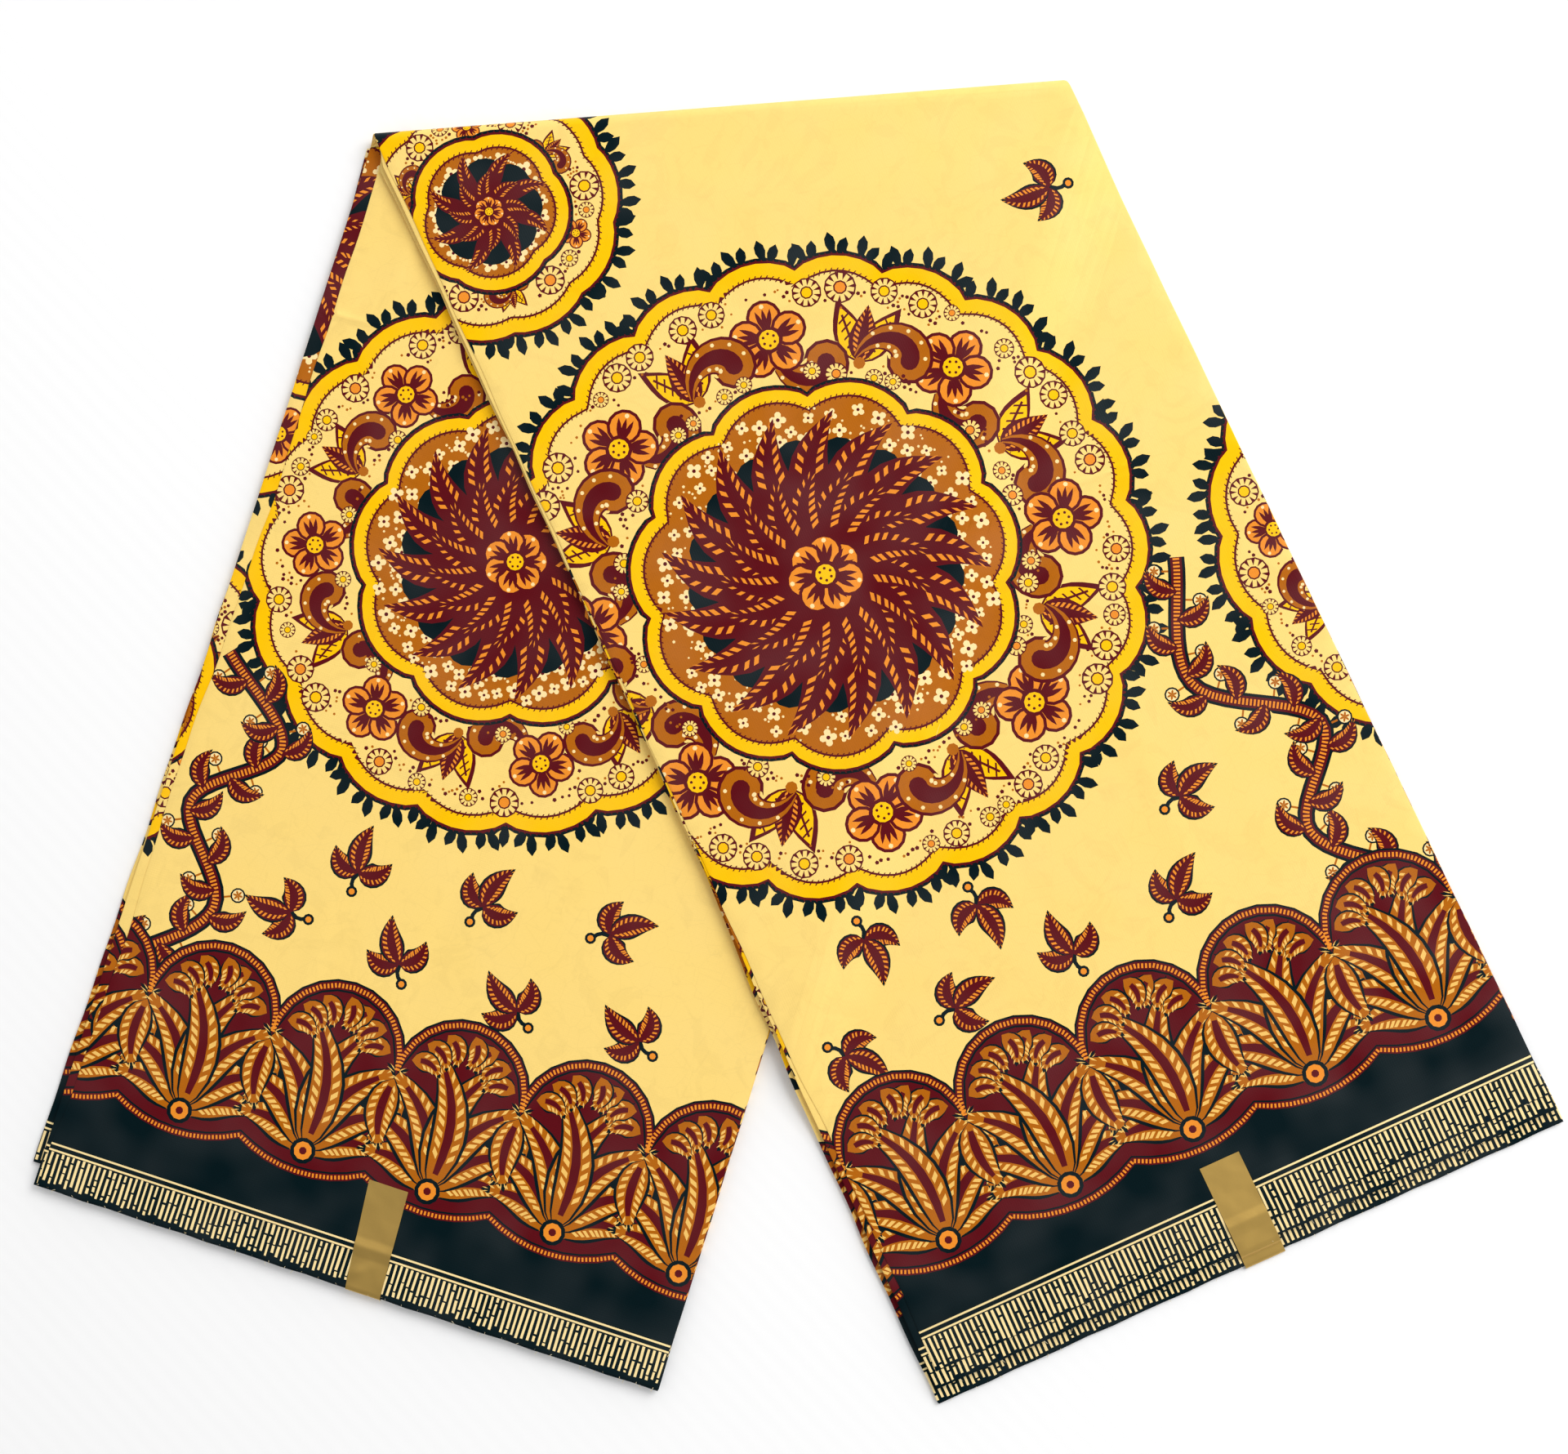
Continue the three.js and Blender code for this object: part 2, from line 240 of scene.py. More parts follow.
def cut_out(outline, shapes, lines=(), loose=()):
    """Triangles of an outline, split along shapes and lines: places, corners, inks, and where the
    outline's own points went."""
    points = [Vector((p.real, p.imag)) for p in outline]
    edges = [(k, (k + 1) % len(points)) for k in range(len(points))]
    for start, end in list(lines) + (showing(shapes) if shapes else []):
        edges.append((len(points), len(points) + 1))
        points += [Vector((start.real, start.imag)), Vector((end.real, end.imag))]
    points += [Vector((p.real, p.imag)) for p in loose]
    places, _, corners, was, _, _ = delaunay_2d_cdt(points, edges, [], 0, CLOSE, True)
    places = np.array([p[:] for p in places])
    corners = np.array(corners)
    middles = places[corners].mean(1) @ (1, 1j)
    kept = within(middles, outline)
    used, corners = np.unique(corners[kept], return_inverse=True)
    went = [0] * len(outline)
    for k, v in enumerate(used):
        for first in was[v]:
            if first < len(outline):
                went[first] = k
    return places[used], corners.reshape(-1, 3), painted(middles[kept], shapes), went


print(len(cut_out(sample[0][1], sample)[1]), "triangles in the sample")

# %% [markdown]
# ## A flat lap as a closed shell
# Real cloth has two faces and a cut or folded edge that shows at the side of the pile. A Solidify
# modifier would double every small triangle of the print, so the back is cut again from the same rim
# without the print, and a strip of walls joins the two. The ink rides on the faces, the flat place on the
# points, and a UV map in three parts keeps the face, the back and the walls apart.

# %% A new object, rims and the UV map
UV_NAME = "OFBake"                   # the export bakes into a map of this name
FACE_PART, BACK_PART, WALL_PART = (0.004, 0.9), (0.91, 0.95), (0.96, 0.996)     # shares of its width


def made_object(name, points, faces, edges=()):
    """A new object in the scene, from points in metres."""
    mesh = bpy.data.meshes.new(name)
    mesh.from_pydata(points, edges, faces)
    made = bpy.data.objects.new(name, mesh)
    bpy.context.collection.objects.link(made)
    return made


def rims(corners):
    """The loops of edges that only one triangle has, each as (vertex, triangle) in order."""
    edges = {}
    for face, (a, b, c) in enumerate(corners.tolist()):
        for edge in ((a, b), (b, c), (c, a)):
            edges[edge] = face
    ahead = {a: (b, face) for (a, b), face in edges.items() if (b, a) not in edges}
    loops = []
    while ahead:
        at = start = next(iter(ahead))
        loop = []
        while at in ahead:
            after, face = ahead.pop(at)
            loop.append((at, face))
            at = after
        if at == start:
            loops.append(loop)
    return loops


def unrolled(places, first, last):
    across = np.clip(places[:, 0] / (LAP_WIDTH + 2 * BLEED) + 0.5, 0, 1)
    up = np.clip((places[:, 1] + 20) / (LEG_LENGTH + 2 * FOLD_REACH - 30), 0, 1)
    return np.column_stack([first + (last - first) * across, 0.004 + 0.992 * up])


def wall_strip(count):
    """The corners of the edge walls, in the order that flat_cloth gives them."""
    low, high = np.arange(count) / count, (np.arange(count) + 1) / count
    near, far = np.full(count, WALL_PART[0]), np.full(count, WALL_PART[1])
    return np.stack([near, high, near, low, far, low, far, high], -1).reshape(-1, 2)


print("the sample has", len(rims(cut_out(sample[0][1], sample)[1])), "rim")

# %% A closed flat lap
SELVEDGE, BAND_TOP, ARCADE_TOP = 16.0, 62.0, 122.0     # tops of the hem's bands over the cut edge, in mm


def flat_cloth(name, outline, shapes, lines, loose, thickness, sink):
    """A closed flat lap: printed face, coarse back in ground colours. sink(x, y) lowers the face's edge."""
    places, corners, inks, _ = cut_out(outline, shapes, lines, loose)
    face = np.column_stack([places, -sink(places[:, 0], places[:, 1])])
    loop = max(rims(corners), key=len)
    rim = [complex(*places[v]) for v, _ in loop]
    back_places, back_corners, _, went = cut_out(rim, (), lines, loose)
    back = np.column_stack([back_places, np.full(len(back_places), -thickness)])
    near_hem = back_places[back_corners].mean(1)[:, 1] < BAND_TOP
    back_inks = np.where(near_hem, INK_NAMES.index("green"), INK_NAMES.index("cream"))
    back_corners = back_corners[:, ::-1]
    low = [len(face) + k for k in went]
    after = list(range(1, len(loop))) + [0]
    walls = [(loop[m][0], loop[k][0], low[k], low[m]) for k, m in enumerate(after)]
    wall_inks = [inks[triangle] for _, triangle in loop]

    points = np.concatenate([face, back])
    cloth = made_object(name, (points * MM).tolist(),
                        corners.tolist() + (back_corners + len(face)).tolist() + walls)
    mesh = cloth.data
    inks = np.concatenate([inks, back_inks, wall_inks]).astype(int)
    mesh.attributes.new("ink", "FLOAT_COLOR", "FACE").data.foreach_set("color", INK_COLOURS[inks].ravel())
    flat = mesh.attributes.new("flat", "FLOAT_VECTOR", "POINT")
    flat.data.foreach_set("vector", points.astype(np.float32).ravel())
    spread = np.concatenate([unrolled(places, *FACE_PART)[corners.ravel()],
                             unrolled(back_places, *BACK_PART)[back_corners.ravel()], wall_strip(len(loop))])
    mesh.uv_layers.new(name=UV_NAME).data.foreach_set("uv", spread.astype(np.float32).ravel())
    return cloth


print("a lap's face takes", FACE_PART, "of the map's width")

# %% [markdown]
# ## Laying a flat lap over the form
# The lap stays flat until its print, thickness and stack are done. Then each point goes through the form
# of its leg once. Edges sharper than the set angle stay crisp, and all else is shaded smooth.

# %% From flat to laid
SHARP = math.radians(50)


def laid(cloth, leg, height):
    """Moves a flat object's points over the form of a leg, with its top at this height."""
    mesh = cloth.data
    points = np.empty(len(mesh.vertices) * 3)
    mesh.vertices.foreach_get("co", points)
    x, y, z = (points.reshape(-1, 3) / MM).T
    mesh.vertices.foreach_set("co", (FORMS[leg](x, y, height + z) * MM).ravel())
    mesh.update()
    mesh.shade_smooth()
    mesh.set_sharp_from_angle(angle=SHARP)
    mesh.validate()
    return cloth


print("edges stay crisp from", round(math.degrees(SHARP)), "degrees")

# %% [markdown]
# ## Drawing the motifs
# The motifs are common ones of such prints: round medallions, flowers, paisleys, leaves, vines and
# arches. Each is a list of shapes in millimetres, drawn about its own middle as shares of one size, so
# that a function can place it anywhere, at any size and turn. First come the strokes that all motifs
# share.

# %% Strokes and placing
def place(shapes, at, turn=0.0, size=1.0, flip=False):
    """The same shapes somewhere else: turned, scaled or mirrored left to right."""
    spin = cmath.rect(size, turn)
    return [(ink, [at + spin * (-p.conjugate() if flip else p) for p in points]) for ink, points in shapes]


def patch(ink, left, right, foot, head):
    """An upright rectangle."""
    return (ink, [complex(x, y) for x, y in ((left, foot), (right, foot), (right, head), (left, head))])


def disc(ink, at, radius, sides=14):
    return (ink, [at + cmath.rect(radius, TURN * k / sides) for k in range(sides)])


def petal(ink, at, turn, length, width, sides=5, point=1.0):
    """A leaf shape from its base, as wide as width, with a point at the far end."""
    side = [complex(length * k / sides, width / 2 * math.sin(math.pi * (k / sides) ** point))
            for k in range(1, sides)]
    outline = [0j] + [p.conjugate() for p in side] + [complex(length, 0)] + side[::-1]
    return (ink, [at + cmath.rect(1, turn) * p for p in outline])


def arc(at, radius, start, end, sides):
    return [at + cmath.rect(radius, start + (end - start) * k / sides) for k in range(sides + 1)]


def lobed(radius, lobes, depth, sides=7):
    """A closed outline of round lobes about the centre, cut in by depth between them."""
    path = []
    for k in range(lobes * sides):
        share = (k % sides) / sides
        reach = radius - depth * (1 - math.sin(math.pi * share) ** 0.8)
        path.append(cmath.rect(reach, TURN * k / (lobes * sides)))
    return path


print("a petal has", len(petal("green", 0j, 0.0, 10.0, 4.0)[1]), "points")

# %% Lines along a path
def normals(path, closed):
    """Unit vectors square to a path, on its left, one for each point."""
    count = len(path)
    result = []
    for k in range(count):
        before = path[k - 1] if closed or k else path[0]
        after = path[(k + 1) % count] if closed or k + 1 < count else path[-1]
        step = after - before
        result.append(1j * step / (abs(step) or 1.0))
    return result


def shifted(path, distance, closed=True):
    return [p + n * distance for p, n in zip(path, normals(path, closed))]


def band(ink, path, width, closed=True):
    """A stripe along a path, as a run of four-sided patches."""
    count = len(path)
    shapes = []
    side = normals(path, closed)
    left = [p + n * width / 2 for p, n in zip(path, side)]
    right = [p - n * width / 2 for p, n in zip(path, side)]
    for k in range(count if closed else count - 1):
        m = (k + 1) % count
        shapes.append((ink, [right[k], right[m], left[m], left[k]]))
    return shapes


def walk(path, spacing, closed=True, start=0.5):
    """Points at an even spacing along a path, each with the direction there."""
    ends = path + path[:1] if closed else path
    total = sum(abs(b - a) for a, b in zip(ends, ends[1:]))
    count = max(1, round(total / spacing))
    step = total / count
    wanted = step * start
    gone = 0.0
    stops = []
    for a, b in zip(ends, ends[1:]):
        length = abs(b - a)
        while length and wanted <= gone + length and len(stops) < count:
            stops.append((a + (b - a) * (wanted - gone) / length, (b - a) / length))
            wanted += step
        gone += length
    return stops


def ticks(ink, path, spacing, length, width, closed=True, lean=0.0):
    """Short bars across a path."""
    shapes = []
    for at, way in walk(path, spacing, closed):
        across = 1j * way * cmath.rect(1, lean) * length / 2
        along = way * width / 2
        shapes.append((ink, [at - across - along, at - across + along, at + across + along,
                             at + across - along]))
    return shapes


print(len(ticks("maroon", lobed(50.0, 12, 3.0), 2.7, 3.0, 0.6)), "bars fit round a lobed ring of 50 mm")

# %% [markdown]
# ## Flowers, wheels and drops
# Resin is printed with fine lines, so the small motifs are outlined and veined. Each has only as many
# points as it needs at its size, because a rosette repeats it up to a hundred times.

# %% Small motifs
def daisy(size, spokes=13, eye="yellow"):
    """A wheel of fine spokes round a yellow eye."""
    shapes = [disc("maroon", 0j, size, 12), disc("cream", 0j, size * 0.9, 12)]
    for k in range(spokes):
        turn = TURN * k / spokes
        side = cmath.rect(0.12 * size, turn + math.pi / 2)
        near, far = cmath.rect(size * 0.46, turn), cmath.rect(size * 0.9, turn)
        shapes.append(("maroon", [near, far - side, far + side]))
    return shapes + [disc("maroon", 0j, size * 0.44, 9), disc(eye, 0j, size * 0.34, 9)]


def blossom(size, petals=5):
    """A round-petalled flower in maroon, orange and yellow."""
    shapes = []
    for k in range(petals):
        at = cmath.rect(size * 0.56, TURN * k / petals)
        shapes += [disc("maroon", at, size * 0.44, 14), disc("orange", at, size * 0.36, 14)]
    for k in range(petals):
        turn = TURN * k / petals
        for lean in (-0.34, 0.0, 0.34):
            shapes.append(petal("maroon", cmath.rect(size * 0.2, turn + lean * 0.5), turn + lean * 0.8,
                                size * 0.58, size * 0.13, 4))
        shapes.append(disc("pale", cmath.rect(size * 0.84, turn), size * 0.06, 6))
    shapes += [disc("maroon", 0j, size * 0.34, 14), disc("yellow", 0j, size * 0.25, 12)]
    shapes += [disc("maroon", cmath.rect(size * 0.15, TURN * k / 6), size * 0.04, 5) for k in range(6)]
    return shapes


def paisley(size):
    """A bent drop in ochre with a maroon heart and a row of pale dots."""
    count = 12
    spine = [cmath.rect(size * (0.15 + 0.5 * k / count), 2.4 * k / count) * cmath.rect(1, -0.9)
             for k in range(count + 1)]
    side = normals(spine, False)

    def beside(k, reach):
        return spine[k] + side[k] * size * reach * math.cos(0.47 * math.pi * k / count)
    shapes = []
    for ink, width in (("maroon", 0.66), ("ochre", 0.56), ("maroon", 0.26)):
        left = [beside(k, width / 2) for k in range(count + 1)]
        right = [beside(k, -width / 2) for k in range(count + 1)]
        turn = cmath.phase(left[0] - spine[0])
        head = arc(spine[0], size * width / 2, turn, turn + math.pi, 6)[1:-1]
        shapes.append((ink, right[::-1] + head[::-1] + left))
    return shapes + [disc("pale", beside(k, reach), size * 0.03, 6)
                     for k in range(1, 10, 2) for reach in (-0.21, 0.21)]


def little_blossom(size):
    petals = [p * cmath.rect(1, 0.4) for p in lobed(size, 4, size * 0.5, 5)]
    return [("pale", petals), disc("maroon", 0j, size * 0.24, 7)]


print("shapes: wheel", len(daisy(7)), "flower", len(blossom(18)), "drop", len(paisley(30)))

# %% [markdown]
# ## Hatched leaves
# Fine bars across a leaf's border are the mark of this kind of print. One leaf with a bent spine serves
# for sprigs, buds, the sunburst and the border, with other inks, shares and bends.

# %% Leaves, sprigs and buds
def hatched_leaf(length, width, rim="maroon", core="maroon", tick="orange", edge="green", bend=0.16,
                 bare=0.0, rows=11):
    """A bent leaf: dark edge, a hatched border and a plain heart. bare is the share with no hatching."""
    cuts = 9
    spine = [length * complex(k / cuts, bend * math.sin(math.pi * k / cuts)) for k in range(cuts + 1)]
    side = normals(spine, False)

    def half(share):
        return width / 2 * math.sin(math.pi * share ** 0.72)

    def outline(scale, first, last):
        pick = range(first, last + 1)
        return [spine[k] - side[k] * scale * half(k / cuts) for k in pick] \
            + [spine[k] + side[k] * scale * half(k / cuts) for k in reversed(pick)]
    shapes = [(edge, outline(1.22, 0, cuts)[:-1]), (rim, outline(1.0, 0, cuts - 1))]
    for k in range(1, rows):
        share = k / rows
        if share < bare:
            continue
        m = min(int(share * cuts), cuts - 1)
        step = spine[m + 1] - spine[m]
        at = spine[m] + step * (share * cuts - m)
        thick = step / abs(step) * length / rows * 0.26
        for way in (-1, 1):
            near, far = at + way * side[m] * half(share) * 0.42, at + way * side[m] * half(share) * 0.84
            shapes.append((tick, [near - thick, near + thick, far + 3 * thick, far + thick]))
    shapes.append((core, outline(0.3, max(1, round(cuts * bare) - 1), cuts - 2)))
    return shapes


def sprig(size):
    """Three hatched leaves on a short stem, with a bead at its foot."""
    stem = [complex(-size * 0.42 + size * 0.5 * k / 6, 0.05 * size * math.sin(k)) for k in range(7)]
    shapes = band("green", stem, size * 0.07, False)
    for turn, length, bend in ((1.0, 0.62, 0.2), (-1.0, 0.62, -0.2), (0.0, 0.86, 0.1)):
        leaf = hatched_leaf(size * length, size * 0.36, bend=bend)
        shapes += place(leaf, complex(-size * 0.12, 0), turn)
    shapes += [disc("green", complex(-size * 0.46, 0), size * 0.1, 10),
               disc("orange", complex(-size * 0.46, 0), size * 0.055, 8)]
    return shapes


def tulip(size):
    """An opening bud: two yellow leaves veined in maroon round a hatched heart."""
    shapes = []
    for side in (-1, 1):
        for ink, share in (("maroon", 1.0), ("yellow", 0.84)):
            leaf = petal(ink, complex(size * (0.03 if share < 1 else 0), 0), side * 0.5, size * share,
                         size * 0.44 * share, 7, 0.8)
            shapes.append(leaf)
        vein = [cmath.rect(size * k / 6 * 0.75, side * 0.5) for k in range(1, 7)]
        shapes += band("maroon", vein, size * 0.035, False)
        shapes += ticks("maroon", vein, size * 0.12, size * 0.2, size * 0.03, False, 0.5 * side)
    heart = hatched_leaf(size * 0.86, size * 0.34, bend=0.0, edge="maroon")
    return shapes + place(heart, 0j) + [disc("ochre", 0j, size * 0.09, 8)]


print("shapes: leaf", len(hatched_leaf(20, 8)), "sprig", len(sprig(27)), "bud", len(tulip(32)))

# %% [markdown]
# ## Ribbons, cords and vines
# These follow a path. Ticks at an even spacing along it give the barbs and the hatching, and the vine
# sets its wheels and leaves by the same walk.

# %% Ribbons, cords and vines
def barbed_band(path, width, fill, barb=3.0, pitch=2.7):
    """A yellow ribbon with maroon edges and short barbs across both of them, round a field of fill."""
    shapes = [("maroon", shifted(path, -width / 2 - 0.7))]
    shapes += ticks("maroon", shifted(path, -width / 2), pitch, barb, 0.6, lean=0.5)
    shapes += [("yellow", shifted(path, -width / 2 + 0.4)), ("maroon", shifted(path, width / 2 - 0.4)),
               (fill, shifted(path, width / 2 + 0.6))]
    return shapes + ticks("maroon", shifted(path, width / 2), pitch, barb, 0.6, lean=-0.5)


def rope(path, width):
    """A hatched cord: maroon with orange bars, and a dark line to both sides."""
    shapes = band("green", path, width * 1.9, False)
    shapes += band("maroon", path, width * 1.25, False)
    return shapes + ticks("orange", path, 1.75, width * 0.72, 0.9, False)


def garland(path, width, seed):
    """A hatched vine with leaves to both sides and little wheels on stalks."""
    rng = random.Random(seed)
    shapes = []
    for k, (at, way) in enumerate(walk(path, width * 3.2, False)):
        side = 1 if k % 2 else -1
        out = 1j * side * way
        stalk = [at + out * width * reach for reach in (0.5, 2.0)]
        shapes += band("ochre", stalk, width * 0.22, False)
        star = [petal("ochre", 0j, TURN * n / 6, width * 0.62, width * 0.26, 3) for n in range(6)]
        wheel = [disc("green", 0j, width * 0.85, 12), disc("pale", 0j, width * 0.66, 12)] + star
        shapes += place(wheel, at + out * width * 2.5)
    shapes += rope(path, width)
    for k, (at, way) in enumerate(walk(path, width * 3.2, False, 0.1)):
        side = 1 if k % 2 else -1
        leaf = hatched_leaf(width * 4.4, width * 2.0, bend=0.22 * side)
        shapes += place(leaf, at - way * width, cmath.phase(way) + side * (0.75 + 0.2 * rng.random()))
    return shapes


print(len(rope([0j, 50 + 0j, 100 + 0j], 3.0)), "shapes in 100 mm of cord")

# %% [markdown]
# ## Rosettes
# The largest motif is a medallion: a fringe of leaves, a ribbon, a garden of flowers, another ribbon and
# a sunburst. The big flowers stand at set stations. The wheels, dots and buds between them are scattered
# with a fixed seed, each kept off its neighbours, as a block cutter would fill the ground.

# %% Scattering what fills the ground
def scatter(rng, count, inside, taken, size, tries=4000):
    """Places for small motifs, kept off each other and off what is already there."""
    found = []
    for _ in range(tries):
        if len(found) == count:
            break
        at = inside(rng)
        radius = rng.uniform(*size)
        if all(abs(at - other) > radius + reach for other, reach in taken + found):
            found.append((at, radius))
    return found


def in_ring(near, far):
    """A rule for random places between two radii."""
    return lambda source: cmath.rect(source.uniform(near, far), source.uniform(0, TURN))


print(len(scatter(random.Random(1), 50, in_ring(20.0, 40.0), [], (3.0, 4.0))), "wheels fit in a small ring")

# %% The parts of a rosette
STATION = 84.0          # mm between the large flowers round the garden
FRINGE_STEP = 11.5      # mm between pairs of leaves round the rim


def fringe(outer):
    """Pairs of dark leaves that point outwards."""
    shapes = []
    for at, way in walk(outer, FRINGE_STEP):
        out = cmath.phase(-1j * way)
        for lean, length in ((-0.36, 13.0), (0.3, 15.0)):
            shapes.append(petal("green", at, out + lean, length, 5.2, 5, 1.8))
    return shapes


def large_flowers(radius, garden):
    """Flowers, and buds between two paisleys, in turn round the garden; and the room that they take."""
    shapes, taken = [], []
    stations = 2 * max(3, round(TURN * garden / STATION))
    for k in range(stations):
        turn = TURN * (k + 0.25) / stations
        at = cmath.rect(garden, turn)
        if k % 2:
            shapes += place(blossom(radius * 0.13), at, turn)
            taken.append((at, radius * 0.135))
            continue
        shapes += place(tulip(radius * 0.22), at - cmath.rect(radius * 0.09, turn), turn)
        taken.append((at, radius * 0.11))
        for side in (-1, 1):
            spot = cmath.rect(garden, turn + side * 0.17)
            drop = spot - cmath.rect(radius * 0.07, turn)
            shapes += place(paisley(radius * 0.225), drop, turn, 1, side > 0)
            taken.append((spot, radius * 0.09))
    return shapes, taken


def sunburst(core):
    """Two tiers of hatched leaves about a flower."""
    rays = max(8, round(TURN * core / 23))
    shapes = [("green", lobed(core * 1.02, rays, core * 0.1, 5))]
    for tier, (near, far) in enumerate(((0.36, 1.22), (0.1, 0.78))):
        leaf = hatched_leaf(core * (far - near), core * 0.25, edge="maroon", bare=0.42 - 0.1 * tier)
        for k in range(rays):
            turn = TURN * (k + tier / 2) / rays
            shapes += place(leaf, cmath.rect(core * near, turn), turn - 0.16)
    return shapes + place(blossom(core * 0.3, 7), 0j, 0.2)


print(len(fringe(lobed(100.0, 16, 4.5))), "leaves in the fringe of a rosette of 100 mm")

# %% A whole rosette
def rosette(radius, lobes, seed):
    """A round medallion: a fringe of leaves, a ribbon, a garden of flowers, a ribbon and a sunburst."""
    rng = random.Random(seed)
    outer = lobed(radius, lobes, radius * 0.045)
    inner_radius = radius * 0.6
    flowers, taken = large_flowers(radius, (radius - 8 + inner_radius) / 2)
    shapes = fringe(outer) + [("green", shifted(outer, -5.8))] + barbed_band(outer, 7.4, "cream") + flowers

    garden = in_ring(inner_radius + 6, radius - 11)
    wheels = scatter(rng, 400, garden, taken, (6.2, 8.0), 9000)
    wheels += scatter(rng, 200, garden, taken + wheels, (3.8, 5.6), 9000)
    for at, size in scatter(rng, 420, garden, taken + wheels, (0.6, 1.1), 4000):
        shapes.append(disc("maroon" if size > 0.8 else "ochre", at, size, 5))
    for at, size in wheels:
        eye = rng.choice(("yellow", "yellow", "orange"))
        shapes += place(daisy(size, 11, eye), at, rng.uniform(0, TURN))

    inner = lobed(inner_radius, lobes // 2, radius * 0.05, 10)
    shapes += [("green", shifted(inner, -5.2))] + barbed_band(inner, 6.4, "ochre")
    core = inner_radius * 0.72
    field = in_ring(core, inner_radius - 9)
    buds = scatter(rng, 90, field, [], (2.8, 4.2))
    for at, size in buds:
        shapes += place(little_blossom(size), at, rng.uniform(0, TURN))
    shapes += [disc("pale", at, size, 5) for at, size in scatter(rng, 80, field, buds, (0.5, 0.8))]
    return shapes + sunburst(core)


print(len(rosette(60.0, 10, 1)), "shapes in a rosette of 60 mm")

# %% [markdown]
# ## Border and selvedge
# The border is an arcade: each arch holds a fan of hatched leaves, and a hatched cord runs over and under
# it. Below it the cloth ends in a dark band, two cream lines and a selvedge of uneven cream bars. On the
# real cloth that edge is printed by a worn roller, so the bars break and shift a little at random.

# %% The arcade
def arcade(width, bays, foot, head, shift=0.0):
    """The border: round arches, each with a fan of leaves, between two hatched cords."""
    bay = width / bays
    middles = [-width / 2 - bay + bay * (k + 0.5) + shift for k in range(bays + 2)]
    top, bottom = [], []
    for middle in middles:
        top += arc(complex(middle, head - bay * 0.36), bay * 0.5, math.pi, 0, 12)[:-1]
        bottom += arc(complex(middle, foot + bay * 0.9), bay * 1.03, 1.5 * math.pi - 0.507,
                      1.5 * math.pi + 0.507, 8)[:-1]
    shapes = [("maroon", bottom + top[::-1])]
    for middle in middles:
        base, crown = complex(middle, foot + 2), complex(middle, head - bay * 0.36)
        # each leaf: its base and turn, its length and width as shares of the bay, bend, bare share, bars
        leaves = [(base, math.pi / 2 + side * lean, far, 0.24, -0.14 * side, 0.2, 14)
                  for lean, far in ((1.34, 0.64), (0.98, 0.84), (0.62, 1.02), (0.27, 1.16))
                  for side in (-1, 1)]
        leaves += [(complex(middle + side * bay * 0.5, head - bay * 0.42), -math.pi / 2 - 0.1 * side,
                    0.56, 0.22, 0.1 * side, 0.0, 10) for side in (-1, 1)]
        leaves += [(crown + cmath.rect(bay * 0.43, math.pi / 2 + lean), -math.pi / 2 + lean,
                    0.26, 0.14, math.copysign(0.2, lean), 0.3, 6)
                   for lean in (-1.3, -0.9, -0.5, 0.0, 0.5, 0.9, 1.3)]
        for at, turn, length, wide, bend, bare, rows in leaves:
            leaf = hatched_leaf(bay * length, bay * wide, "ochre", "maroon", "straw", "green",
                                bend, bare, rows)
            shapes += place(leaf, at, turn)
        shapes += [disc("green", base, bay * 0.1, 12), disc("orange", base, bay * 0.07, 10),
                   disc("maroon", base, bay * 0.03, 8)]
    return shapes + rope(top, 3.0) + rope(bottom, 2.6)


print(len(arcade(LAP_WIDTH, 5, BAND_TOP - 12, ARCADE_TOP)), "shapes in the border of one lap")

# %% The selvedge
def selvedge(width, depth, seed, pitch=2.6):
    """Uneven cream bars on black, under two cream lines. The bars stop short of the cut edge, and the black
    strip left there is partly the print's dark border and partly painted shade for the shadow along the
    ledges.
    """
    rng = random.Random(seed)
    shapes = []
    for y, thick in ((depth + 3.4, 0.9), (depth + 0.6, 0.9)):
        shapes.append(patch("pale", -width / 2, width / 2, y - thick / 2, y + thick / 2))
    count = round(width / pitch)
    for k in range(count):
        x = -width / 2 + (k + 0.5) * width / count
        y = depth - rng.uniform(0.0, 0.8)
        while y > 2.6:
            run = rng.choice((3.0, 6.0, 9.0, 12.0, 16.0)) * rng.uniform(0.7, 1.2)
            # bars end 0.8 to 2.1 mm short of the cut edge: the print's dark edge, widened as painted shade
            # for the shadow at the ledges
            end = max(y - run, rng.uniform(0.8, 2.1))
            half = pitch * rng.uniform(0.18, 0.26)
            slip = rng.uniform(-0.25, 0.25)
            shapes.append(("pale", [complex(x - half + slip, end), complex(x + half + slip, end),
                                    complex(x + half, y), complex(x - half, y)]))
            y = end - rng.uniform(0.5, 1.1)
    return shapes


print(len(selvedge(LAP_WIDTH, SELVEDGE, 1)), "bars and lines in the selvedge of one lap")

# %% [markdown]
# ## The whole print of a leg
# From the cut edge upwards come the selvedge, the dark band, the arcade, rows of sprigs on plain cream
# and the rosettes. Each leg shows another part of the length, so the rosettes sit elsewhere. A third
# layout serves for the laps below, which show only at their edges, and for the two laps that face the
# table.

# %% Layers of a lap's print
BAYS = 5                                               # arches across one lap
SPRIG, VINE = 27.0, 4.2                                # length of a sprig, width of a vine


def ground(ink, foot, head):
    return patch(ink, -HALF_WIDTH - BLEED, HALF_WIDTH + BLEED, foot, head)


def wavy(stops, steps=10):
    """A smooth path through the stops."""
    ends = [2 * stops[0] - stops[1]] + stops + [2 * stops[-1] - stops[-2]]
    path = []
    for before, a, b, after in zip(ends, ends[1:], ends[2:], ends[3:]):
        for k in range(steps):
            t = k / steps
            path.append(a + 0.5 * t * (b - before + t * (2 * before - 5 * a + 4 * b - after
                                                         + t * (3 * (a - b) + after - before))))
    return path + [stops[-1]]


